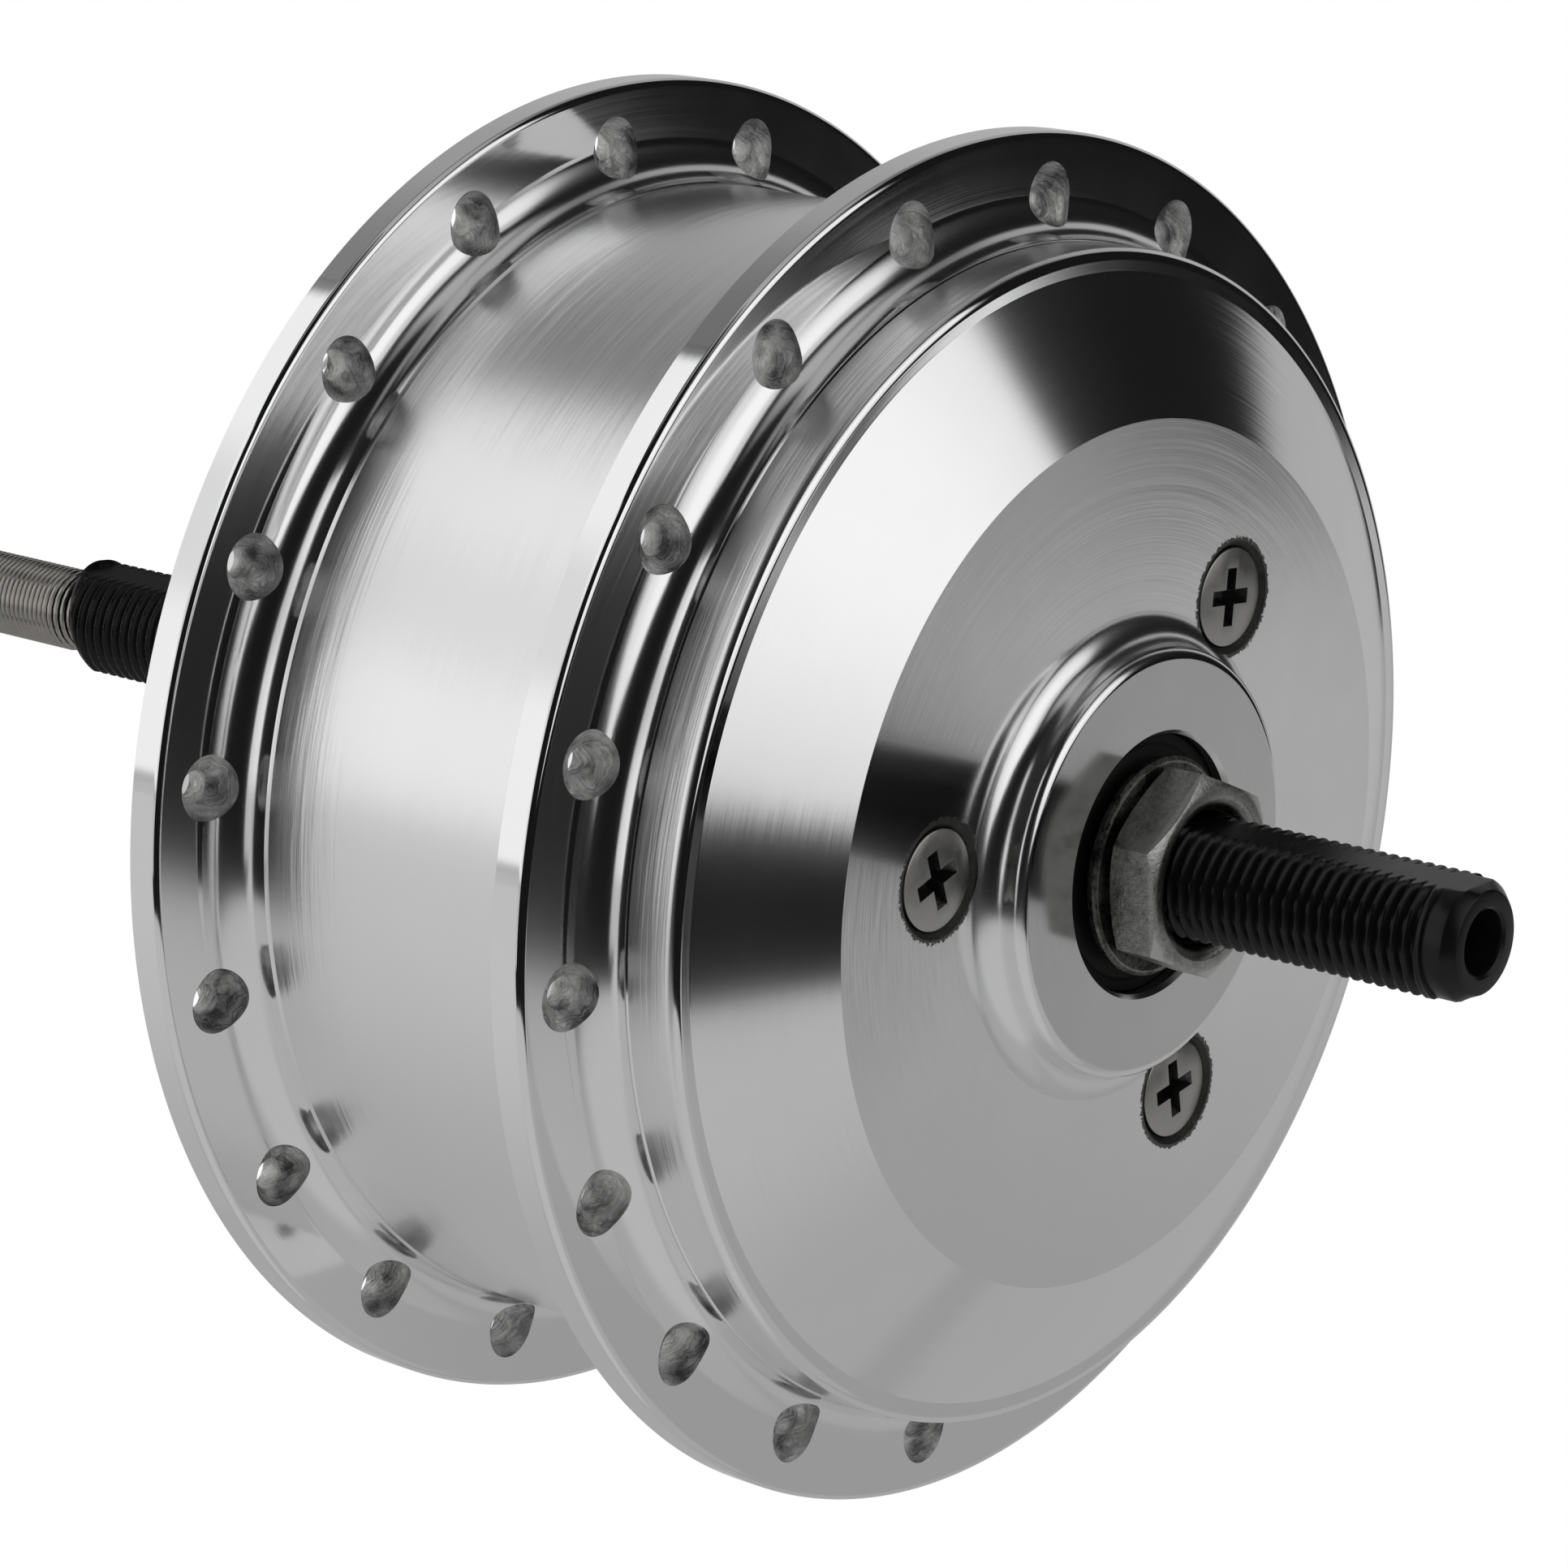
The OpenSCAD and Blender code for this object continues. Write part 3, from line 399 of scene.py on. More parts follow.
def cover_finish():
    """Brushed cone, satin disc, bright boss and lip."""
    made, s, place = material("turned_cover")
    base = tuple(colours().aluminium)
    x, y, z, radius = s.round_axle(place)
    cone = s.band(radius, DISC_R, CONE_R + 0.8, 0.05)
    disc = s.band(radius, BOSS_R + 0.4, DISC_R, 0.05)
    rim = s.step(radius, DRUM_R - 0.4, DRUM_R - 0.1)
    boss = s.band(radius, BOSS_FACE_R + 0.4, BOSS_R + 0.5, 0.3)
    face = 1 - s.step(radius, BOSS_FACE_R - 0.1, BOSS_FACE_R + 0.2)
    cloud = s.noise(place, 0.09, 3.0, 0.6)
    # The sunk holes' edges are ragged: folded by a third of a turn, one circle stands for all three
    third = s.folded(s.angle(z, x) - SCREW_ANGLES[0], 120.0)
    from_screw = s.vector("LENGTH", s.combine(radius * s.math("COSINE", third) - SCREW_CIRCLE_R,
                                              radius * s.math("SINE", third), 0.0))
    torn = s.noise(place, 2.6, 3.0, 0.7)
    ragged = (1 - s.step(from_screw - torn * 1.3, 4.94, 5.06)) * s.step(radius, BOSS_R, BOSS_R + 0.4)
    pale = shaded(base, 0.78)
    s.surface(
        base=s.mix(ragged, s.mix(s.clamp(cloud * 0.2 + face * 0.9), base, pale), (0.14, 0.14, 0.135)),
        metallic=1.0,
        roughness=(0.06 + cone * 0.08 + disc * 0.07 + rim * 0.22 + boss * 0.13 + face * 0.10 + ragged * 0.25
                   + (cloud - 0.5) * 0.04),
        normal=s.turned_normal(
            place, 0.02 + cone * 0.12 + disc * 0.03 + rim * 0.40 + boss * 0.10 + face * 0.04,
            visible=0.3 - disc * 0.27 - boss * 0.22),
    )
    return made


def spoke_hole_finish():
    """Rough cut walls of the spoke holes, with the rings that the cutter leaves, and painted light and shade
    in random patches.
    """
    made, s, place = material("cut_spoke_hole")
    x, y, z, radius = s.round_axle(place)
    near = 1 - s.step(y, -5.0, -4.0)
    angle = s.angle(z, x) - FAR_PHASE + near * (FAR_PHASE - NEAR_PHASE)
    local = s.folded(angle, 360 / SPOKES)
    across = radius * s.math("SINE", local)
    out = radius * s.math("COSINE", local) - FAR_HOLES_R - SINK_SHIFT + near * (FAR_HOLES_R - NEAR_HOLES_R)
    deep = y - FAR_FACE + near * (FAR_FACE + NEAR_FACE)
    tilt = math.radians(SINK_TILT)
    # Distance along the drill's own line, and from it
    along = deep * math.cos(tilt) - out * math.sin(tilt)
    aside = s.vector("LENGTH", s.combine(out * math.cos(tilt) + deep * math.sin(tilt), across, 0.0))
    wander = s.noise(place, 0.45, 2.0, 0.5)
    rings = s.noise(s.combine((along - aside * 0.4 + wander * 2.2) * 5.5, angle * 0.08, 0.0), 1.0, 4.0, 0.75)
    grit = s.noise(place, 3.0, 4.0, 0.75)
    # Large random patches, from near black to near white, stand in for the light and shade inside the seats:
    # painted shade and painted highlights
    patch = s.noise(place, 0.42, 1.5, 0.5)
    floor = SINK_POINT * SINK_FLOOR
    # The bore below the seat's floor is painted a little paler: a painted highlight
    bore = s.step(deep, floor + 0.05, floor + 0.3)
    shade = s.clamp((patch * 0.46 + rings * 0.36 + grit * 0.18) * 5.0 - 2.0 + bore * 0.12)
    s.surface(
        base=s.mix(shade, (0.14, 0.14, 0.14), (0.98, 0.98, 0.97)),
        metallic=0.8,
        roughness=0.36 + grit * 0.2,
        normal=s.bump(rings * 0.7 + grit * 0.4, 0.32),
    )
    return made


def plated(name, base, roughness, wear=0.3, grain=3.0, depth=0.02):
    """A plated or machined steel piece: small pits, cloudy gloss and paler high spots."""
    made, s, place = material(name)
    cloud = s.noise(place, 0.6, 4.0, 0.65)
    pits = s.noise(place, grain, 3.0, 0.6)
    pale = tuple(min(1, c * 1.35 + 0.02) for c in base)
    s.surface(
        base=s.mix(s.clamp((cloud - 0.35) * 2.2 * wear + 0.1), base, pale),
        metallic=1.0,
        roughness=roughness + (cloud - 0.5) * 0.25,
        normal=s.bump(pits, depth),
    )
    return made


def black_oxide_finish():
    """The blackened steel of the axle, duller on the flats at the cable end."""
    made, s, place = material("black_oxide")
    x, y, z = s.split(place)
    cloud = s.noise(place, 0.5, 4.0, 0.6)
    grit = s.noise(place, 5.0, 3.0, 0.7)
    flats = s.band(abs(z), FLAT - 0.06, FLAT + 0.06, 0.04) * s.step(y, 0.0, 1.0)
    base = tuple(colours().black_oxide)
    s.surface(
        base=s.mix(s.clamp(cloud * 1.6 - 0.4), base, shaded(base, 2.0)),
        metallic=0.0,
        roughness=0.20 + cloud * 0.12 + flats * 0.5,
        specular=0.24,
        normal=s.bump(grit, 0.015),
    )
    return made


def stained_nut_painted_light():
    """Dull zinc, stained on the flats. Painted highlights on the chamfer and a ring of the flange; painted
    shade on the front face, the flange and the inner thread.
    """
    made, s, place = material("zinc_stains_painted_light")
    x, y, z, radius = s.round_axle(place)
    front = s.step(abs(y), NUT_SEAT - 0.4, NUT_SEAT - 0.1)
    flange = 1 - s.step(abs(y), NUT_SEAT - NUT_H + 1.4, NUT_SEAT - NUT_H + 1.5)
    flange_painted_highlight = flange * s.band(radius, 9.55, 9.75, 0.06)
    thread = 1 - s.step(radius, AXLE_R + 0.5, AXLE_R + 1.3)
    cloud = s.noise(place, 0.55, 4.0, 0.65)
    stain = s.step(s.noise(place, 0.42, 5.0, 0.7), 0.52, 0.66)
    grit = s.noise(place, 2.2, 4.0, 0.7)
    chamfer = s.step(abs(y), NUT_SEAT - 1.0, NUT_SEAT - 0.6) * (1 - thread)
    # Painted light: the base is paler on the chamfer and the flange ring (painted highlights) and darker on
    # the front face, the flange and the thread (painted shade); stains and cloud are the zinc's own tone
    shade = (0.72 + (cloud - 0.5) * 0.7 + (grit - 0.5) * 0.6 + chamfer * 0.35 - front * 0.40 - flange * 0.52
             + flange_painted_highlight * 0.4 - stain * 0.2 - thread * 0.65)
    s.surface(
        base=s.mix(s.clamp(shade, 0.03, 1.0), (0.01, 0.01, 0.01), tuple(colours().zinc)),
        metallic=1.0,
        roughness=0.32 + (cloud - 0.5) * 0.2 + thread * 0.2 + flange * 0.1,
        normal=s.bump(grit + s.math("SINE", y * (TAU / 1.25)) * thread * 2.0, 0.05),
    )
    return made


def moulded(name, base, roughness=0.45, grain=2.5, depth=0.015, coat=0.0, specular=0.5):
    """Moulded plastic or rubber with a fine grain."""
    made, s, place = material(name)
    grit = s.noise(place, grain, 3.0, 0.6)
    cloud = s.noise(place, 0.2, 3.0, 0.5)
    s.surface(
        base=s.mix(cloud, base, shaded(base, 0.82)),
        metallic=0.0,
        roughness=roughness + (grit - 0.5) * 0.12,
        coat=coat,
        specular=specular,
        normal=s.bump(grit, depth),
    )
    return made


def laminated(name):
    """A stack of thin steel sheets."""
    made, s, place = material(name)
    sheet = s.math("SINE", s.split(place)[1] * (TAU / 0.5))
    grit = s.noise(place, 1.5, 3.0, 0.6)
    s.surface(
        base=s.mix(s.clamp(grit), (0.20, 0.21, 0.22), (0.33, 0.34, 0.35)),
        metallic=1.0,
        roughness=0.38 + grit * 0.1,
        normal=s.bump(sheet * 0.5 + grit * 0.3, 0.05),
    )
    return made


def wound_copper(name):
    """Enamelled wire lying side by side."""
    made, s, place = material(name)
    x, y, z, radius = s.round_axle(place)
    wire = abs(s.math("SINE", radius * (TAU / 1.6)))
    grit = s.noise(place, 1.2, 2.0, 0.5)
    s.surface(
        base=s.mix(s.clamp(wire * 0.8 + grit * 0.3), (0.18, 0.05, 0.02), (0.62, 0.25, 0.09)),
        metallic=0.7,
        roughness=0.3 + grit * 0.1,
        coat=0.4,
        normal=s.bump(wire, 0.12),
    )
    return made


def woven(name, base):
    """A narrow woven strap."""
    made, s, place = material(name)
    x, y, z = s.split(place)
    warp = s.math("SINE", x * (TAU / 0.7)) * s.math("SINE", (y + z) * (TAU / 0.7))
    grit = s.noise(place, 3.0, 3.0, 0.6)
    s.surface(
        base=s.mix(s.clamp(warp * 0.5 + 0.5), base, shaded(base, 1.9)),
        metallic=0.0,
        roughness=0.8 + grit * 0.1,
        sheen=0.3,
        normal=s.bump(warp * 0.5 + grit * 0.4, 0.08),
    )
    return made


def paint(obj, *made):
    """Gives an object these materials, by slot, and keeps each face's slot."""
    slots = obj.data.materials
    for i, one in enumerate(made):
        if i < len(slots):
            slots[i] = one
        else:
            slots.append(one)
    return obj


# Shapes


def unit(value):
    return max(0.0, min(1.0, value))


def put(name, vertices, faces, smooth=40.0):
    """A mesh object from points in millimetres."""
    mesh = bpy.data.meshes.new(name)
    mesh.from_pydata([[c * MM for c in v] for v in vertices], [], faces)
    mesh.validate()
    b = bmesh.new()
    b.from_mesh(mesh)
    bmesh.ops.recalc_face_normals(b, faces=b.faces)
    b.to_mesh(mesh)
    b.free()
    mesh.shade_smooth()
    mesh.set_sharp_from_angle(angle=math.radians(smooth))
    obj = bpy.data.objects.new(name, mesh)
    bpy.context.scene.collection.objects.link(obj)
    return obj


def arc(centre, radius, start, end, steps=10):
    """Points of an arc in the plane of radius and y, angles in degrees."""
    turns = [math.radians(start + (end - start) * i / steps) for i in range(steps + 1)]
    return [(centre[0] + radius * math.cos(turn), centre[1] + radius * math.sin(turn)) for turn in turns]


def eased(outline, edge=0.06):
    """Adds a point close to each end of the long straight runs, so that they shade flat."""
    out = []
    for i, p in enumerate(outline):
        q = outline[(i + 1) % len(outline)]
        out.append(p)
        run = math.dist(p, q)
        if run > 8 * edge and min(p[0], q[0]) > edge:
            out.append(tuple(a + (b - a) * edge / run for a, b in zip(p, q)))
            out.append(tuple(b + (a - b) * edge / run for a, b in zip(p, q)))
    return out


def bridge(one, two):
    """Faces between two rings of as many points, where a ring may be one point."""
    faces = []
    for k in range(len(one)):
        m = (k + 1) % len(one)
        corners = [one[k], one[m], two[m], two[k]]
        corners = [c for j, c in enumerate(corners) if c not in corners[:j]]
        if len(corners) > 2:
            faces.append(corners)
    return faces


def turned(outline, steps, at=(0.0, 0.0)):
    """Vertices and faces of a closed outline of (radius, y), revolved about a line along Y."""
    vertices, faces, rings = [], [], []
    for radius, y in outline:
        if radius < 1e-6:
            rings.append([len(vertices)] * steps)
            vertices.append((at[0], y, at[1]))
        else:
            rings.append([len(vertices) + k for k in range(steps)])
            for k in range(steps):
                turn = TAU * k / steps
                vertices.append((at[0] + radius * math.cos(turn), y, at[1] + radius * math.sin(turn)))
    for i, ring in enumerate(rings):
        faces += bridge(ring, rings[(i + 1) % len(rings)])
    return vertices, faces


def lathe(name, outline, steps=None, smooth=40.0, flat_runs=True):
    outline = eased(outline) if flat_runs else outline
    return put(name, *turned(outline, steps or sizes().segments), smooth=smooth)


def joined(name, parts, smooth=40.0):
    """One mesh of several separate solids, each given as (vertices, faces)."""
    vertices, faces = [], []
    for vs, fs in parts:
        base = len(vertices)
        vertices += vs
        faces += [[base + i for i in f] for f in fs]
    return put(name, vertices, faces, smooth=smooth)


def at_angle(angle, out, aside=0.0):
    """x and z of a point so far out along a ray at that angle, and so far beside it."""
    angle = math.radians(angle)
    return (out * math.cos(angle) - aside * math.sin(angle),
            out * math.sin(angle) + aside * math.cos(angle))


def carve(obj, tool, operation="DIFFERENCE", smooth=40.0):
    """Cuts tool out of obj, or keeps what they share. The walls that it leaves get the second material."""
    for polygon in tool.data.polygons:
        polygon.material_index = 1
    for one in (obj, tool):
        while len(one.data.materials) < 2:
            one.data.materials.append(None)
    cut = obj.modifiers.new("cut", "BOOLEAN")
    cut.operation = operation
    cut.solver = "MANIFOLD"
    cut.object = tool
    graph = bpy.context.evaluated_depsgraph_get()
    mesh = bpy.data.meshes.new_from_object(obj.evaluated_get(graph))
    obj.modifiers.clear()
    obj.data = mesh
    bpy.data.objects.remove(tool)
    mesh.shade_smooth()
    mesh.set_sharp_from_angle(angle=math.radians(smooth))
    return obj


def tube(path, radius, sides, first=(1, 0, 0)):
    """Vertices and faces of a round tube along a path, its ends closed."""
    points = [Vector(p) for p in path]
    vertices = []
    turn = Vector(first)
    for i, p in enumerate(points):
        line = (points[min(i + 1, len(points) - 1)] - points[max(i - 1, 0)]).normalized()
        turn = (turn - line * turn.dot(line)).normalized()
        other = line.cross(turn)
        for k in range(sides):
            angle = TAU * k / sides
            vertices.append(tuple(p + radius * (math.cos(angle) * turn + math.sin(angle) * other)))
    rings = [list(range(i * sides, (i + 1) * sides)) for i in range(len(points))]
    faces = [face for one, two in zip(rings, rings[1:]) for face in bridge(one, two)]
    return vertices, faces + [rings[0][::-1], rings[-1]]


def smooth_route(points, step=2.0):
    """A smooth line through the points, sampled about every step."""
    out = []
    padded = [points[0]] + list(points) + [points[-1]]
    for i in range(1, len(padded) - 2):
        a, b, c, d = (Vector(padded[j]) for j in (i - 1, i, i + 1, i + 2))
        count = max(1, round((c - b).length / step))
        for k in range(count):
            t = k / count
            out.append(0.5 * ((2 * b) + (c - a) * t + (2 * a - 5 * b + 4 * c - d) * t * t
                              + (3 * b - a - 3 * c + d) * t ** 3))
    out.append(Vector(points[-1]))
    return out


def body_of(node):
    for name, members in frame["record"]["behaviour"]["bodies"].items():
        if node in members:
            return name
    raise RuntimeError("no body holds " + node)


def stand_in(obj, *nodes):
    """obj rides with the nodes that it stands for, and hides them."""
    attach(obj, body_of(nodes[0]))
    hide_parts(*nodes)
    return obj


# Camera and studio


class HUBMOTOR_OT_camera(bpy.types.Operator):
    """Sets the camera to the photograph's point of view"""

    bl_idname = "hub_motor.camera"
    bl_label = "Camera"

    def execute(self, context):
        azimuth, elevation, roll = (math.radians(a) for a in CAMERA_TURN)
        back = Vector((math.sin(azimuth) * math.cos(elevation), -math.cos(azimuth) * math.cos(elevation),
                       math.sin(elevation)))
        right = Vector((math.cos(azimuth), math.sin(azimuth), 0.0))
        up = back.cross(right)
        side = right * math.cos(roll) + up * math.sin(roll)
        top = -right * math.sin(roll) + up * math.cos(roll)
        data = bpy.data.cameras.new("camera")
        data.lens, data.sensor_width = CAMERA_LENS, 36.0
        data.clip_start, data.clip_end = 0.01, 20.0
        camera = bpy.data.objects.new("camera", data)
        context.scene.collection.objects.link(camera)
        turn = Matrix((side, top, back)).transposed()
        camera.matrix_world = Matrix.Translation(Vector(CAMERA_PLACE)) @ turn.to_4x4()
        context.scene.camera = camera
        return {"FINISHED"}


class HUBMOTOR_OT_studio(bpy.types.Operator):
    """Makes the white background and the room that the metal mirrors"""

    bl_idname = "hub_motor.studio"
    bl_label = "Studio"

    def execute(self, context):
        scene = context.scene
        scene.view_settings.view_transform = "Standard"
        world = bpy.data.worlds.new("studio")
        scene.world = world
        world.use_nodes = True
        world.node_tree.nodes.clear()
        s = Shade(world.node_tree)
        look = s.node("ShaderNodeTexCoord").outputs["Generated"]
        x, y, z = s.split(s.vector("NORMALIZE", look))
        azimuth = s.angle(x, -y)
        behind = s.angle(-x, y)
        height = s.math("ARCSINE", z) * (180 / math.pi)

        # The soft box at the right of the camera, and the larger one at its left
        inner_edge = -8.0 - 9.0 * s.step(height, 0.0, 18.0)
        right_box = s.band(azimuth, inner_edge, 42.0, 2.0) * s.band(height, -3.0, 50.0, 1.5)
        right_box = right_box * (0.82 + 0.2 * s.step(height, 0.0, 20.0) - 0.1 * s.step(azimuth, 20.0, 40.0)
                                 - 0.35 * s.step(height, 34.0, 44.0))
        reach = s.band(behind, 3.0, 97.0, 2.0)
        below = reach * s.band(height, -15.0, -3.5, 0.8) * 0.5
        left_box = reach * s.band(height, -3.0, 53.0, 1.2)
        left_box = left_box * (0.94 - 0.18 * s.band(height, 20.0, 36.0, 4.0)
                               - 0.2 * s.step(behind, 68.0, 90.0))

        # The grey backdrop
        far_side = s.step(azimuth, 80.0, 86.0) + s.step(behind, -1.0, 1.0) * (1 - s.step(behind, 2.0, 4.0))
        sweep = s.clamp(far_side) * s.step(height, -12.0, -6.0)
        sweep = sweep * (0.44 - 0.10 * s.step(height, 12.0, 38.0) - 0.18 * s.step(height, 38.0, 52.0))

        # The pale table, whose edge lies low in front and high at the left and behind
        edge = (-21.0 + 3.6 * s.step(azimuth, 25.0, 42.0) - 1.3 * s.step(azimuth, 44.5, 48.0)
                + 1.7 * s.step(azimuth, 49.5, 51.4) + 3.4 * s.step(azimuth, 53.4, 54.2)
                + 0.5 * s.step(azimuth, 55.2, 56.2) + 9.0 * s.step(azimuth, 76.0, 88.0)
                + 16.0 * (1 - s.step(behind, 62.0, 95.0)) * s.step(-azimuth, 0.0, 1.0))
        under = 1 - s.step(height, edge - 0.5, edge + 0.5)
        gap_top = (-12.3 - 1.4 * s.step(azimuth, 44.0, 49.5) - 2.2 * s.step(azimuth, 49.5, 51.7)
                   - 0.7 * s.step(azimuth, 52.0, 54.5))
        strip = s.band(azimuth, 50.0, 54.4, 0.5) * s.step(height - gap_top, -0.2, 0.2)
        strip = strip * (1 - s.step(height, -15.0, -13.1))
        left = s.step(-azimuth, 90.0, 120.0)
        table = (0.40 + 0.10 * (1 - s.step(azimuth, -5.0, 20.0)) + 0.06 * left * s.step(height, -40.0, -18.0)
                 - 0.10 * left * (1 - s.step(height, -55.0, -30.0))
                 + 0.16 * s.band(azimuth, 124.0, 137.0, 4.0) * s.step(height, -34.0, -24.0)
                 + 0.05 * s.band(azimuth, 97.0, 122.0, 3.0) * s.step(height, -24.0, -14.0)
                 + s.band(azimuth, 46.0, 57.5, 2.0) * (0.07 - 0.13 * (1 - s.step(height, -21.5, -16.5))))
        ground = s.clamp(under + strip) * table

        # Two glints of lamps beyond the gap
        off = abs(height + 12.1 + 0.6 * (azimuth - 48.2))
        glint = (1 - s.step(off, 0.0, 2.9)) * s.step(azimuth, 44.6, 46.2) * (1 - s.step(azimuth, 46.8, 51.8))
        spark = s.band(azimuth, 51.7, 53.1, 0.35) * s.band(height, -13.4, -11.2, 0.35)
        haze = s.band(azimuth, 43.5, 50.0, 1.5) * s.band(height, -17.5, -12.5, 1.0)
        glints = glint * 0.8 + spark * 0.85 + haze * 0.06
        overhead = 1 - s.band(azimuth, -115.0, -25.0, 8.0)
        top = s.step(height, 56.0, 66.0) * (0.22 + 0.2 * s.band(azimuth, -5.0, 60.0, 8.0)) * overhead
        boxes = s.math("MAXIMUM", right_box, left_box + below)
        room = 0.008 + s.math("MAXIMUM", boxes, s.math("MAXIMUM", sweep, ground)) + glints + top

        rays = s.node("ShaderNodeLightPath")
        diffuse_ray = s.level(rays, "Is Diffuse Ray")
        seen = room * (1 - diffuse_ray) + (0.55 + right_box * 0.5 + left_box * 0.5 + top) * diffuse_ray
        glow = s.node("ShaderNodeBackground", None, {"Color": (1, 1, 1), "Strength": seen})
        white = s.node("ShaderNodeBackground", None, {"Color": (1, 1, 1), "Strength": 1.0})
        both = s.node("ShaderNodeMixShader", None,
                      {0: rays.outputs["Is Camera Ray"], 1: glow.outputs[0], 2: white.outputs[0]})
        s.node("ShaderNodeOutputWorld", None, {"Surface": both.outputs[0]})
        return {"FINISHED"}


# Cable


LEAD_ROUTE = [(0, 93, 0), (0, 104, 0), (0, 116, 0), (0, 131, 0), (0, 141, -1.5), (0, 151, -5.5),
              (0, 159, -11.5), (0, 166, -20), (0, 170, -30), (0, 174, -40.5), (0, 180, -49),
              (0, 188, -55.5), (0, 197, -59.5), (0, 207, -60.3), (0, 215, -60.3)]
TAIL_ROUTE = [(-70, 215, -54), (-70, 208, -54), (-70, 195, -55), (-70, 181, -57), (-70, 168, -57.7),
              (-70, 158, -57.7)]
COIL_CENTRE = (-35, 220.8)
COIL_R = 35.0
COIL_LAYER = 6.3
COIL_REST = -60.3
COIL_LOOPS = 2.5


def coil_point(turn):
    """A point of the coil after so many turns: one spiral in, half a turn up a layer, one spiral out."""
    radius = COIL_R - COIL_LAYER * min(turn, COIL_LOOPS - turn)
    rise = unit((turn - 1) * 2)
    return (COIL_CENTRE[0] + radius * math.cos(TAU * turn), COIL_CENTRE[1] + radius * math.sin(TAU * turn),
            COIL_REST + COIL_LAYER * rise)


def cable_route():
    coil = [coil_point(i / 72) for i in range(int(COIL_LOOPS * 72) + 1)]
    lead = [tuple(p) for p in smooth_route(LEAD_ROUTE, 1.5)]
    tail = [tuple(p) for p in smooth_route(TAIL_ROUTE, 2.0)]
    return lead + [(0, 218, COIL_REST)] + coil + [(-70, 218, -54)] + tail


class HUBMOTOR_OT_cable(bpy.types.Operator):
    """Makes the motor cable, in and outside the axle"""

    bl_idname = "hub_motor.cable"
    bl_label = "Motor cable"

    def execute(self, context):
        radius = sizes().cable_diameter / MM / 2
        jacket = moulded("cable_jacket", tuple(colours().jacket), 0.42, 2.0, 0.012)
        route = cable_route()
        cable = put("motor_cable_run", *tube(route, radius, 20))
        paint(cable, jacket)
        stand_in(cable, "motor_cable", "cable_coil", "cable_tail")
        inner = put("cable_in_axle", *tube([(0, 33, 0), (0, 60, 0), (0, 92.9, 0)], radius, 20))
        paint(inner, jacket)
        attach(inner, "axle")
        [[c * MM for c in p] for p in route]
        return {"FINISHED"}


class HUBMOTOR_OT_spring(bpy.types.Operator):
    """Winds the spring that keeps the cable from kinking at the axle"""

    bl_idname = "hub_motor.spring"
    bl_label = "Cable spring"

    def execute(self, context):
        wire = sizes().spring_wire / MM
        pitch, start, end, steps = wire * 1.04, FAR_END - 8, FAR_END + 36.9, 24
        path = []
        for i in range(int((end - start) / pitch * steps) + 1):
            y = start + pitch * i / steps
            # Outside the axle the turns widen, and the first few stand open
            radius = SPRING_R + 0.5 * unit((y - FAR_END + 0.6) / 2.4)
            y += 0.6 * unit((y - FAR_END) / 2.6)
            path.append((radius * math.sin(TAU * i / steps), y, radius * math.cos(TAU * i / steps)))
        spring = put("spring_turns", *tube(path, wire / 2, 8, (0, 1, 0)))
        paint(spring, plated("spring_wire", (0.30, 0.285, 0.265), 0.22, 0.5, 2.0, 0.01))
        stand_in(spring, "cable_spring")
        return {"FINISHED"}


# Axle and nuts


def thread_height(y, turn, pitch):
    """How far a thread's surface stands above its root, from 0 to 1."""
    phase = (y / pitch - turn) % 1.0
    slope = abs(2 * phase - 1)
    # A tenth of the pitch is the flat root, and 16 hundredths are the flat crest
    return unit((slope - 0.10) / 0.74)


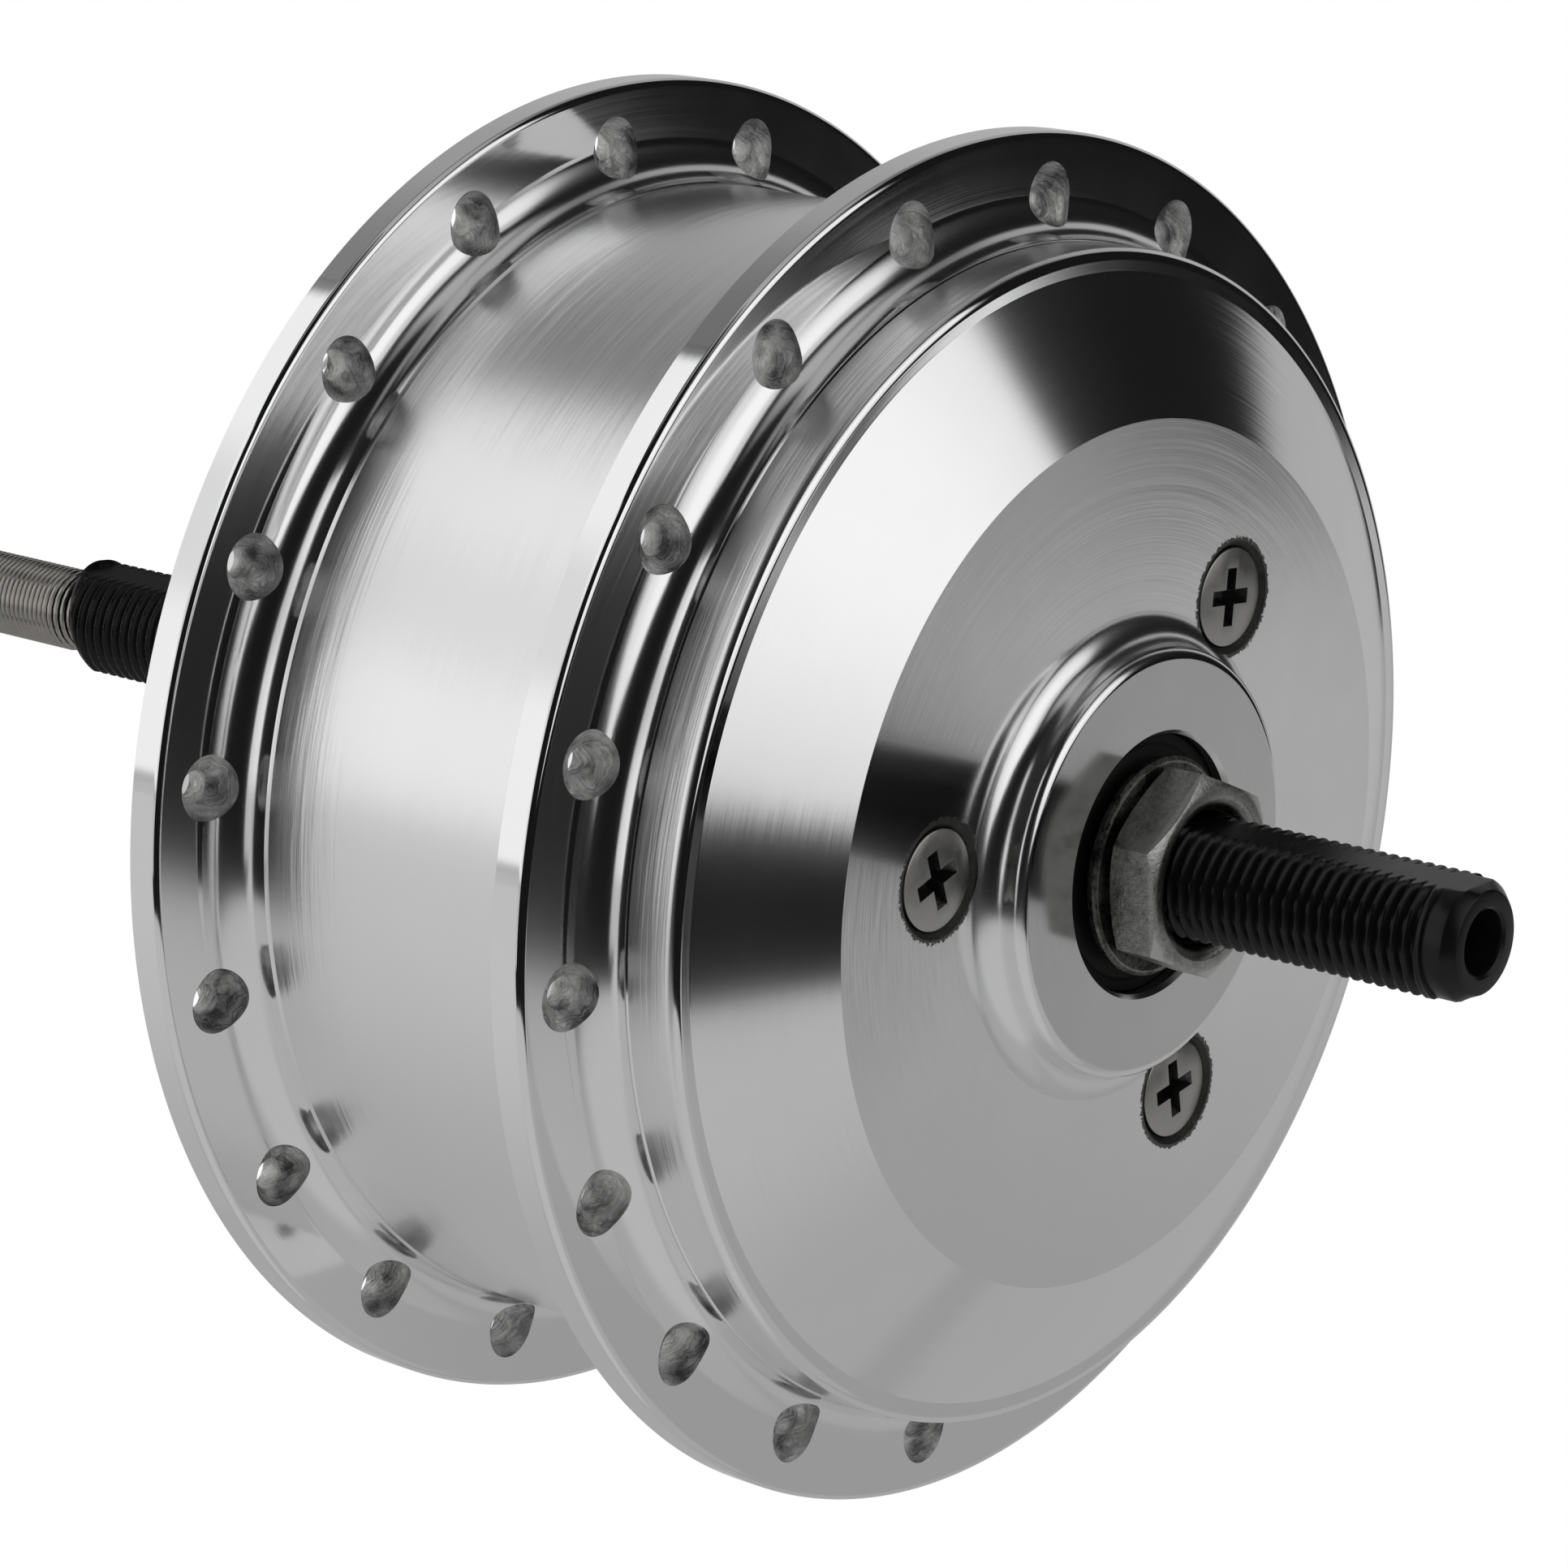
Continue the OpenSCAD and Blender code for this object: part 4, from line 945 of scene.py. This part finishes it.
class HUBMOTOR_OT_axle(bpy.types.Operator):
    """Cuts the threaded axle with its flats, centre hole and cable bore"""

    bl_idname = "hub_motor.axle"
    bl_label = "Axle"

    def execute(self, context):
        pitch = sizes().thread_pitch / MM
        depth = sizes().thread_depth / MM
        steps, fine = 80, pitch / 10

        def plain(points, start=0.0):
            return [(radius, start + y, False) for radius, y in points]

        def threads(start, end):
            count = int((end - start) / fine)
            return [(AXLE_R, start + (end - start) * i / count, True) for i in range(count + 1)]

        rings = plain([(0, 16), (CENTRE_HOLE_R, 14), (CENTRE_HOLE_R, 0.5), (3.0, 0.2), (3.3, 0), (4.5, 0),
                       (4.62, 0.03), (4.72, 0.1), (5.5, 0.88), (5.6, 1.1), (5.6, 2.2), (5.6, 2.9)], NEAR_END)
        rings += threads(NEAR_END + 3.0, -BOSS + 0.4)
        # The seats of the rotor, the stator and the far bearing
        rings += plain([(AXLE_R, -SEAT_Y), (AXLE_R, ROTOR_SEAT[0]), (ROTOR_SEAT_R, ROTOR_SEAT[0]),
                        (ROTOR_SEAT_R, ROTOR_SEAT[1]), (STATOR_SEAT_R, ROTOR_SEAT[1]),
                        (STATOR_SEAT_R, STATOR_SEAT_END), (ROTOR_SEAT_R, STATOR_SEAT_END),
                        (ROTOR_SEAT_R, FAR_BEARING), (FAR_SEAT_R, FAR_BEARING), (FAR_SEAT_R, SEAT_Y),
                        (AXLE_R, SEAT_Y)])
        rings += threads(BOSS - 0.4, FAR_END - 0.6)
        rings += plain([(5.75, -0.1), (5.6, 0), (CABLE_BORE_R + 0.2, 0), (CABLE_BORE_R, -0.2)], FAR_END)
        rings += plain([(CABLE_BORE_R, STATOR_SEAT_END + 1), (0, STATOR_SEAT_END + 1)])
        lean = math.tan(math.radians(TIP_LEAN))
        vertices, index = [], []
        for radius, y, cut in rings:
            if radius == 0:
                index.append([len(vertices)] * steps)
                vertices.append((0, y, 0))
                continue
            index.append([len(vertices) + k for k in range(steps)])
            near_tip = radius > 4.2 and y < NEAR_END + 3.1
            for k in range(steps):
                angle = TAU * k / steps
                # Towards the cable end the rings lean over, so that the end face is oblique
                rise = AXLE_R * lean * (1 - math.cos(angle - math.radians(50))) * unit((y - 60) / 33)
                along = y - rise
                r = radius
                if cut:
                    full = unit(min((along - NEAR_END - 2.9) / pitch, (FAR_END - rise - 0.5 - along) / 0.5))
                    r = AXLE_R - depth * (1 - thread_height(along, k / steps, pitch)) * full
                px, pz = r * math.cos(angle), r * math.sin(angle)
                if (cut and (along < -BOSS or BOSS < along < FAR_END - 0.9)) or near_tip:
                    pz = max(-FLAT, min(FLAT, pz))
                vertices.append((px, along, pz))
        faces = [face for one, two in zip(index, index[1:]) for face in bridge(one, two)]
        axle = put("threaded_axle", vertices, faces, smooth=28)
        paint(axle, black_oxide_finish())
        stand_in(axle, "axle")
        return {"FINISHED"}


def hexagon(across, y0, y1):
    radius = across / 2 / math.cos(math.radians(30))
    ring = [at_angle(60 * k + 30 + NUT_TURN, radius) for k in range(6)]
    vertices = [(px, y0, pz) for px, pz in ring] + [(px, y1, pz) for px, pz in ring]
    faces = [list(range(6)), list(range(6, 12))[::-1]]
    faces += [[k, (k + 1) % 6, 6 + (k + 1) % 6, 6 + k] for k in range(6)]
    return vertices, faces


def locknut(name, side):
    """A hexagon nut on a thin round flange. side is -1 at the near end and 1 at the far end."""
    face, rear, back = -NUT_SEAT, -NUT_SEAT + NUT_H - 1.4, -NUT_SEAT + NUT_H
    nut = put(name, *hexagon(NUT_AF, face, rear), smooth=30)
    crown = [(0, face), (8.2, face), (8.45, face + 0.06), (9.4, face + 0.55), (NUT_FLANGE_R, face + 0.95),
             (NUT_FLANGE_R, rear - 0.75), (9.0, rear - 0.25), (8.3, rear), (0, rear)]
    flange = [(5, rear - 0.5), (8.0, rear - 0.5), (8.0, rear + 0.35), (8.3, rear + 0.5), (9.7, rear + 0.42),
              (9.95, rear + 0.5), (NUT_FLANGE_R, rear + 0.75), (NUT_FLANGE_R, back - EASE),
              (NUT_FLANGE_R - EASE, back), (5, back)]
    bore = [(0, face - 1), (7.75, face - 1), (7.55, face + 0.05), (7.2, face + 0.12), (6.4, face + 0.75),
            (AXLE_R + FIT, face + 1.3), (AXLE_R + FIT, back + 1), (0, back + 1)]
    for outline, operation in ((crown, "INTERSECT"), (flange, "UNION"), (bore, "DIFFERENCE")):
        carve(nut, lathe("nut_tool", outline, 96), operation, 30)
    if side > 0:
        for vertex in nut.data.vertices:
            vertex.co.y = -vertex.co.y
        nut.data.flip_normals()
    soften = nut.modifiers.new("soft_edges", "BEVEL")
    soften.width, soften.segments, soften.limit_method = 0.14 * MM, 2, "ANGLE"
    soften.angle_limit = math.radians(28)
    return nut


class HUBMOTOR_OT_locknuts(bpy.types.Operator):
    """Makes the two flanged locknuts"""

    bl_idname = "hub_motor.locknuts"
    bl_label = "Locknuts"

    def execute(self, context):
        finish = stained_nut_painted_light()
        for end, side in (("near", -1), ("far", 1)):
            stand_in(paint(locknut(f"flanged_nut_{end}", side), finish, finish), f"{end}_locknut")
        return {"FINISHED"}


# Shell and cover


def spoke_hole_tools(circle_r, face, phase):
    """The solids that cut one flange's spoke holes: a straight bore, and a seat drilled at a slant."""
    tilt = math.radians(SINK_TILT)
    shift = SINK_SHIFT - (FAR_SINK_IN if face > 0 else 0)
    point = SINK_POINT / math.cos(tilt)
    wall = point - SINK_R / math.tan(math.radians(59))
    drill = [(0, point), (0.25, point - 0.06), (SINK_R - 0.3, wall + 0.12), (SINK_R - 0.08, wall - 0.05),
             (SINK_R, wall - 0.3), (SINK_R, -2 * SINK_R), (0, -2 * SINK_R)]
    back, bevel = face + FLANGE_T, 0.12
    bore = [(0, face - 1), (SPOKE_HOLE_R, face - 1), (SPOKE_HOLE_R, back - bevel),
            (SPOKE_HOLE_R + bevel, back), (SPOKE_HOLE_R + bevel, back + 1), (0, back + 1)]
    seats, bores = [], []
    for i in range(SPOKES):
        angle = phase + 360 * i / SPOKES
        bores.append(turned(bore, 32, at_angle(angle, circle_r)))
        vertices, faces = turned(drill, 48)
        slanted = []
        for px, py, pz in vertices:
            out = circle_r + shift + px * math.cos(tilt) - py * math.sin(tilt)
            deep = px * math.sin(tilt) + py * math.cos(tilt)
            deep *= SINK_FLOOR if deep > 0 else 1
            px, pz = at_angle(angle, out, pz)
            slanted.append((px, face + deep, pz))
        seats.append((slanted, faces))
    return seats, bores


class HUBMOTOR_OT_shell(bpy.types.Operator):
    """Turns the hub shell and cuts its spoke holes"""

    bl_idname = "hub_motor.shell"
    bl_label = "Hub shell"

    def execute(self, context):
        back = FAR_FACE + FLANGE_T
        near_back = -NEAR_FACE + FLANGE_T
        edge, bevel, hollow = FLANGE_EDGE, FLANGE_BACK_EDGE, FLANGE_BACK_FILLET
        outline = [(GEAR_BORE_R, -SEAM), (DRUM_R - EASE, -SEAM), (DRUM_R, -SEAM + EASE)]
        # The near flange, the drum and the far flange
        outline += arc((DRUM_R + FILLET, -NEAR_FACE - FILLET + EASE), FILLET - EASE, 180, 90, 20)
        outline += arc((FLANGE_R - edge, -NEAR_FACE + edge), edge, -90, 0, 10)
        outline += [(FLANGE_R, near_back - bevel), (FLANGE_R - bevel, near_back)]
        outline += arc((DRUM_R + hollow, near_back + hollow), hollow, -90, -180, 10)
        outline += [(DRUM_R, FAR_FACE - FILLET - 0.85), (DRUM_R + 0.2, FAR_FACE - FILLET - 0.6)]
        outline += arc((DRUM_R + 0.2 + FILLET, FAR_FACE - FILLET), FILLET, 180, 90, 20)
        outline += arc((FLANGE_R - edge, FAR_FACE + edge), edge, -90, 0, 10)
        outline += [(FLANGE_R, back - bevel), (FLANGE_R - bevel, back)]
        # The far end and its boss
        outline += arc((FAR_NECK_R + hollow, back + hollow), hollow, -90, -180, 8)
        outline += arc((FAR_NECK_R - hollow, FAR_DISC - 8), hollow, 0, 60, 8)
        outline += [(DISC_R, FAR_DISC)]
        outline += arc((BOSS_R + hollow, FAR_DISC + hollow), hollow, -90, -180, 8)
        outline += arc((BOSS_R - hollow, BOSS - hollow), hollow, 0, 90, 8)
        # The inside, with the far bearing's seat and the room for the gears and the rotor
        seat_r = FAR_BEARING_R + FIT
        outline += [(BORE_R + 0.4, BOSS), (BORE_R, BOSS - 0.4), (BORE_R, SEAT_Y), (seat_r, SEAT_Y),
                    (seat_r, FAR_BEARING), (FAR_BEARING_R + 5, FAR_BEARING),
                    (FAR_BEARING_R + 6.5, FAR_DISC - COVER_WALL), (DISC_R - 2, FAR_DISC - COVER_WALL),
                    (SHELL_BORE_R, FAR_DISC - 10), (SHELL_BORE_R, RING_GEAR[1]), (GEAR_BORE_R, RING_GEAR[1])]
        shell = lathe("turned_shell", outline)
        for place in ((NEAR_HOLES_R, -NEAR_FACE, NEAR_PHASE), (FAR_HOLES_R, FAR_FACE, FAR_PHASE)):
            for tools in spoke_hole_tools(*place):
                carve(shell, joined("spoke_hole_tools", tools))
        paint(shell, shell_finish(), spoke_hole_finish())
        stand_in(shell, "hub_shell")
        return {"FINISHED"}


class HUBMOTOR_OT_cover(bpy.types.Operator):
    """Turns the near cover and sinks its screw holes"""

    bl_idname = "hub_motor.cover"
    bl_label = "Near cover"

    def execute(self, context):
        slope = (DISC - BAND) / (CONE_R - DISC_R)
        round_r = RIM_ROUND
        boss_wall = BOSS_FACE_R + round_r
        hollow = BOSS_R + 0.25 - boss_wall
        inner_y = DISC - COVER_WALL
        inner_r = GEAR_BORE_R - 3.5
        seat_r = NEAR_BEARING_R + FIT
        wider = 0.85
        band = -BAND + slope * wider
        outline = [(GEAR_BORE_R - FIT, RING_GEAR[0]), (GEAR_BORE_R - FIT, -SEAM), (DRUM_R - EASE, -SEAM),
                   (DRUM_R, -SEAM - EASE)]
        outline += arc((DRUM_R - round_r, band + round_r), round_r, 0, -90, 14)
        outline += [(CONE_R + wider, band), (DISC_R, -DISC)]
        outline += arc((boss_wall + hollow, -DISC - hollow), hollow, 90, 180, 16)
        outline += arc((boss_wall - round_r, -BOSS + round_r), round_r, 0, -90, 12)
        outline += [(BORE_R + 0.4, -BOSS), (BORE_R, -BOSS + 0.4), (BORE_R, -SEAT_Y), (seat_r, -SEAT_Y),
                    (seat_r, NEAR_BEARING_END), (SCREW_PAD_R, NEAR_BEARING_END), (SCREW_PAD_R, -inner_y),
                    (DISC_R - 1.5, -inner_y), (inner_r, -inner_y + slope * (inner_r - DISC_R + 1.5)),
                    (inner_r, RING_GEAR[0])]
        cover = lathe("turned_cover", outline, smooth=22)
        hole_r, through = SCREW_R + FIT, NEAR_BEARING_END + 1
        sink = [(0, -DISC - 1), (5.3, -DISC - 1), (5.3, -DISC + 0.02), (hole_r, -DISC + 2.8),
                (hole_r, through), (0, through)]
        tools = [turned(sink, 64, at_angle(angle, SCREW_CIRCLE_R)) for angle in SCREW_ANGLES]
        carve(cover, joined("screw_sinks", tools), smooth=22)
        # The walls of the sunk holes are painted nearly black: painted shade in the narrow gap round each
        # screw head
        rough = plated("sunk_wall_painted_shade", (0.05, 0.05, 0.048), 0.5, 1.2, 5.0, 0.12)
        paint(cover, cover_finish(), rough)
        stand_in(cover, "near_cover")
        return {"FINISHED"}


class HUBMOTOR_OT_screws(bpy.types.Operator):
    """Makes the three countersunk cross-head screws"""

    bl_idname = "hub_motor.screws"
    bl_label = "Cover screws"

    def execute(self, context):
        top = -DISC + 0.25
        end = NEAR_BEARING_END + 1.5
        outline = [(0, top), (4.45, top), (4.58, top + 0.06), (4.62, top + 0.16), (4.55, top + 0.5),
                   (SCREW_R, top + 2.6), (SCREW_R, end - 0.4), (SCREW_R - 0.4, end), (0, end)]
        sides = [[k, 4 + k, 4 + (k + 1) % 4, (k + 1) % 4] for k in range(4)]
        heads, crosses = [], []
        for angle, turn in zip(SCREW_ANGLES, SCREW_TURNS):
            centre = at_angle(angle, SCREW_CIRCLE_R)
            heads.append(turned(outline, 64, centre))
            for extra in (0, 90):
                vertices = []
                for y, length, width in ((top - 0.5, 3.05, 0.78), (top + 1.9, 1.45, 0.42)):
                    for a, b in ((-length, -width), (length, -width), (length, width), (-length, width)):
                        px, pz = at_angle(turn + extra, a, b)
                        vertices.append((centre[0] + px, y, centre[1] + pz))
                crosses.append((vertices, [[0, 1, 2, 3], [7, 6, 5, 4]] + sides))
        screws = joined("cross_head_screws", heads, 30)
        paint(screws, None)
        for start in (0, 1):
            carve(screws, joined("crosses", crosses[start::2], 30), smooth=30)
        # The cross recesses are painted dark grey: painted shade inside the recess
        paint(screws, plated("nickel_head", tuple(colours().nickel), 0.34, 0.4, 2.0, 0.012),
              plated("recess_painted_shade", (0.10, 0.10, 0.10), 0.4, 0.8, 3.0, 0.08))
        stand_in(screws, "cover_screws")
        return {"FINISHED"}


class HUBMOTOR_OT_seals(bpy.types.Operator):
    """Makes the rubber seals in the two bosses"""

    bl_idname = "hub_motor.seals"
    bl_label = "Seals"

    def execute(self, context):
        rubber = moulded("seal_rubber", (0.006, 0.006, 0.006), 0.6, 1.4, 0.02, specular=0.2)
        front = SEAT_Y + 2.7
        outline = [(8.3, front - 0.3), (8.6, front), (10.6, front), (10.8, front - 0.12), (11.0, front),
                   (11.85, front), (BORE_R - FIT, front - 0.12), (BORE_R - FIT, SEAT_Y + 0.1),
                   (9.1, SEAT_Y + 0.1), (9.1, SEAT_Y + 1.6), (8.3, SEAT_Y + 1.9)]
        for end, side in (("near", -1), ("far", 1)):
            seal = lathe(f"seal_{end}", [(r, side * y) for r, y in outline], 144, flat_runs=False)
            stand_in(paint(seal, rubber), f"{end}_seal")
        return {"FINISHED"}


# Carried-over nodes


# Slot, kind of finish, and what that kind takes: a colour, a roughness and so on
FINISHES = (
    ("black_axle_steel", plated, (0.03, 0.03, 0.032), 0.4),
    ("dull_zinc_steel", plated, (0.46, 0.46, 0.44), 0.45),
    ("plain_steel", plated, (0.50, 0.51, 0.52), 0.33, 0.3, 2.5),
    ("screw_nickel", plated, (0.58, 0.57, 0.54), 0.28),
    ("bearing_steel", turned_aluminium, (0.62, 0.63, 0.64), 0.05, 0.16),
    ("gear_steel", plated, (0.30, 0.31, 0.33), 0.38, 0.4, 2.0, 0.03),
    ("spring_steel", plated, (0.22, 0.22, 0.23), 0.35),
    ("planet_nylon", moulded, (0.78, 0.73, 0.58), 0.42, 1.2, 0.02, 0.1),
    ("bronze", plated, (0.56, 0.38, 0.16), 0.36, 0.4, 3.0, 0.03),
    ("rotor_steel", plated, (0.17, 0.18, 0.19), 0.55, 0.5, 2.0, 0.03),
    ("magnet_nickel", plated, (0.52, 0.53, 0.55), 0.24, 0.3, 1.5, 0.01),
    ("lamination_steel", laminated),
    ("liner_plastic", moulded, (0.80, 0.77, 0.68), 0.5),
    ("enamelled_copper", wound_copper),
    ("support_aluminium", turned_aluminium, (0.80, 0.80, 0.81), 0.12, 0.24),
    ("board_green", moulded, (0.03, 0.17, 0.07), 0.3, 1.0, 0.01, 0.5),
    ("lead_insulation", moulded, (0.66, 0.44, 0.08)),
    ("tie_fabric", woven, (0.03, 0.03, 0.032)),
    ("plug_black", moulded, (0.022, 0.022, 0.024), 0.5, 3.0, 0.03),
    ("plug_insert", moulded, (0.06, 0.06, 0.065), 0.45, 2.0, 0.02),
    ("seal_orange", moulded, (0.60, 0.17, 0.04), 0.5, 2.0, 0.02),
    ("cable_black", moulded, (0.02, 0.02, 0.022)),
    ("seal_rubber", moulded, (0.012, 0.012, 0.013), 0.6),
    ("polished_aluminium", turned_aluminium, (0.90, 0.90, 0.91), 0.05, 0.1),
    ("cover_aluminium", turned_aluminium, (0.88, 0.88, 0.89), 0.1, 0.15),
)


class HUBMOTOR_OT_finishes(bpy.types.Operator):
    """Gives each node that is carried over from the frame its finish"""

    bl_idname = "hub_motor.finishes"
    bl_label = "Finishes of the inner pieces"

    def execute(self, context):
        finishes = {slot: make(slot + "_finish", *looks) for slot, make, *looks in FINISHES}
        for sub in frame["record"]["subparts"]:
            paint(NODES[sub["node"]], finishes[sub["material_slot"]])
        return {"FINISHED"}


# Add-on


class HUBMOTOR_PT_panel(bpy.types.Panel):
    bl_label = "Front hub motor"
    bl_space_type = "VIEW_3D"
    bl_region_type = "UI"
    bl_category = "Hub motor"

    def draw(self, context):
        for group in (context.scene.hub_motor_sizes, context.scene.hub_motor_colours):
            box = self.layout.box()
            for key in group.__annotations__:
                box.prop(group, key)
        for operator in OPERATORS:
            self.layout.operator(operator.bl_idname)


OPERATORS = (HUBMOTOR_OT_camera, HUBMOTOR_OT_cable, HUBMOTOR_OT_spring, HUBMOTOR_OT_finishes,
             HUBMOTOR_OT_shell, HUBMOTOR_OT_cover, HUBMOTOR_OT_screws, HUBMOTOR_OT_seals,
             HUBMOTOR_OT_axle, HUBMOTOR_OT_locknuts, HUBMOTOR_OT_studio)
CLASSES = (HubMotorSizes, HubMotorColours, *OPERATORS, HUBMOTOR_PT_panel)


def register():
    for one in CLASSES:
        bpy.utils.register_class(one)
    bpy.types.Scene.hub_motor_sizes = PointerProperty(type=HubMotorSizes)
    bpy.types.Scene.hub_motor_colours = PointerProperty(type=HubMotorColours)


def unregister():
    del bpy.types.Scene.hub_motor_colours
    del bpy.types.Scene.hub_motor_sizes
    for one in reversed(CLASSES):
        bpy.utils.unregister_class(one)


def main():
    register()
    for operator in OPERATORS:
        group, name = operator.bl_idname.split(".")
        getattr(getattr(bpy.ops, group), name)()


if __name__ == "__main__":
    main()
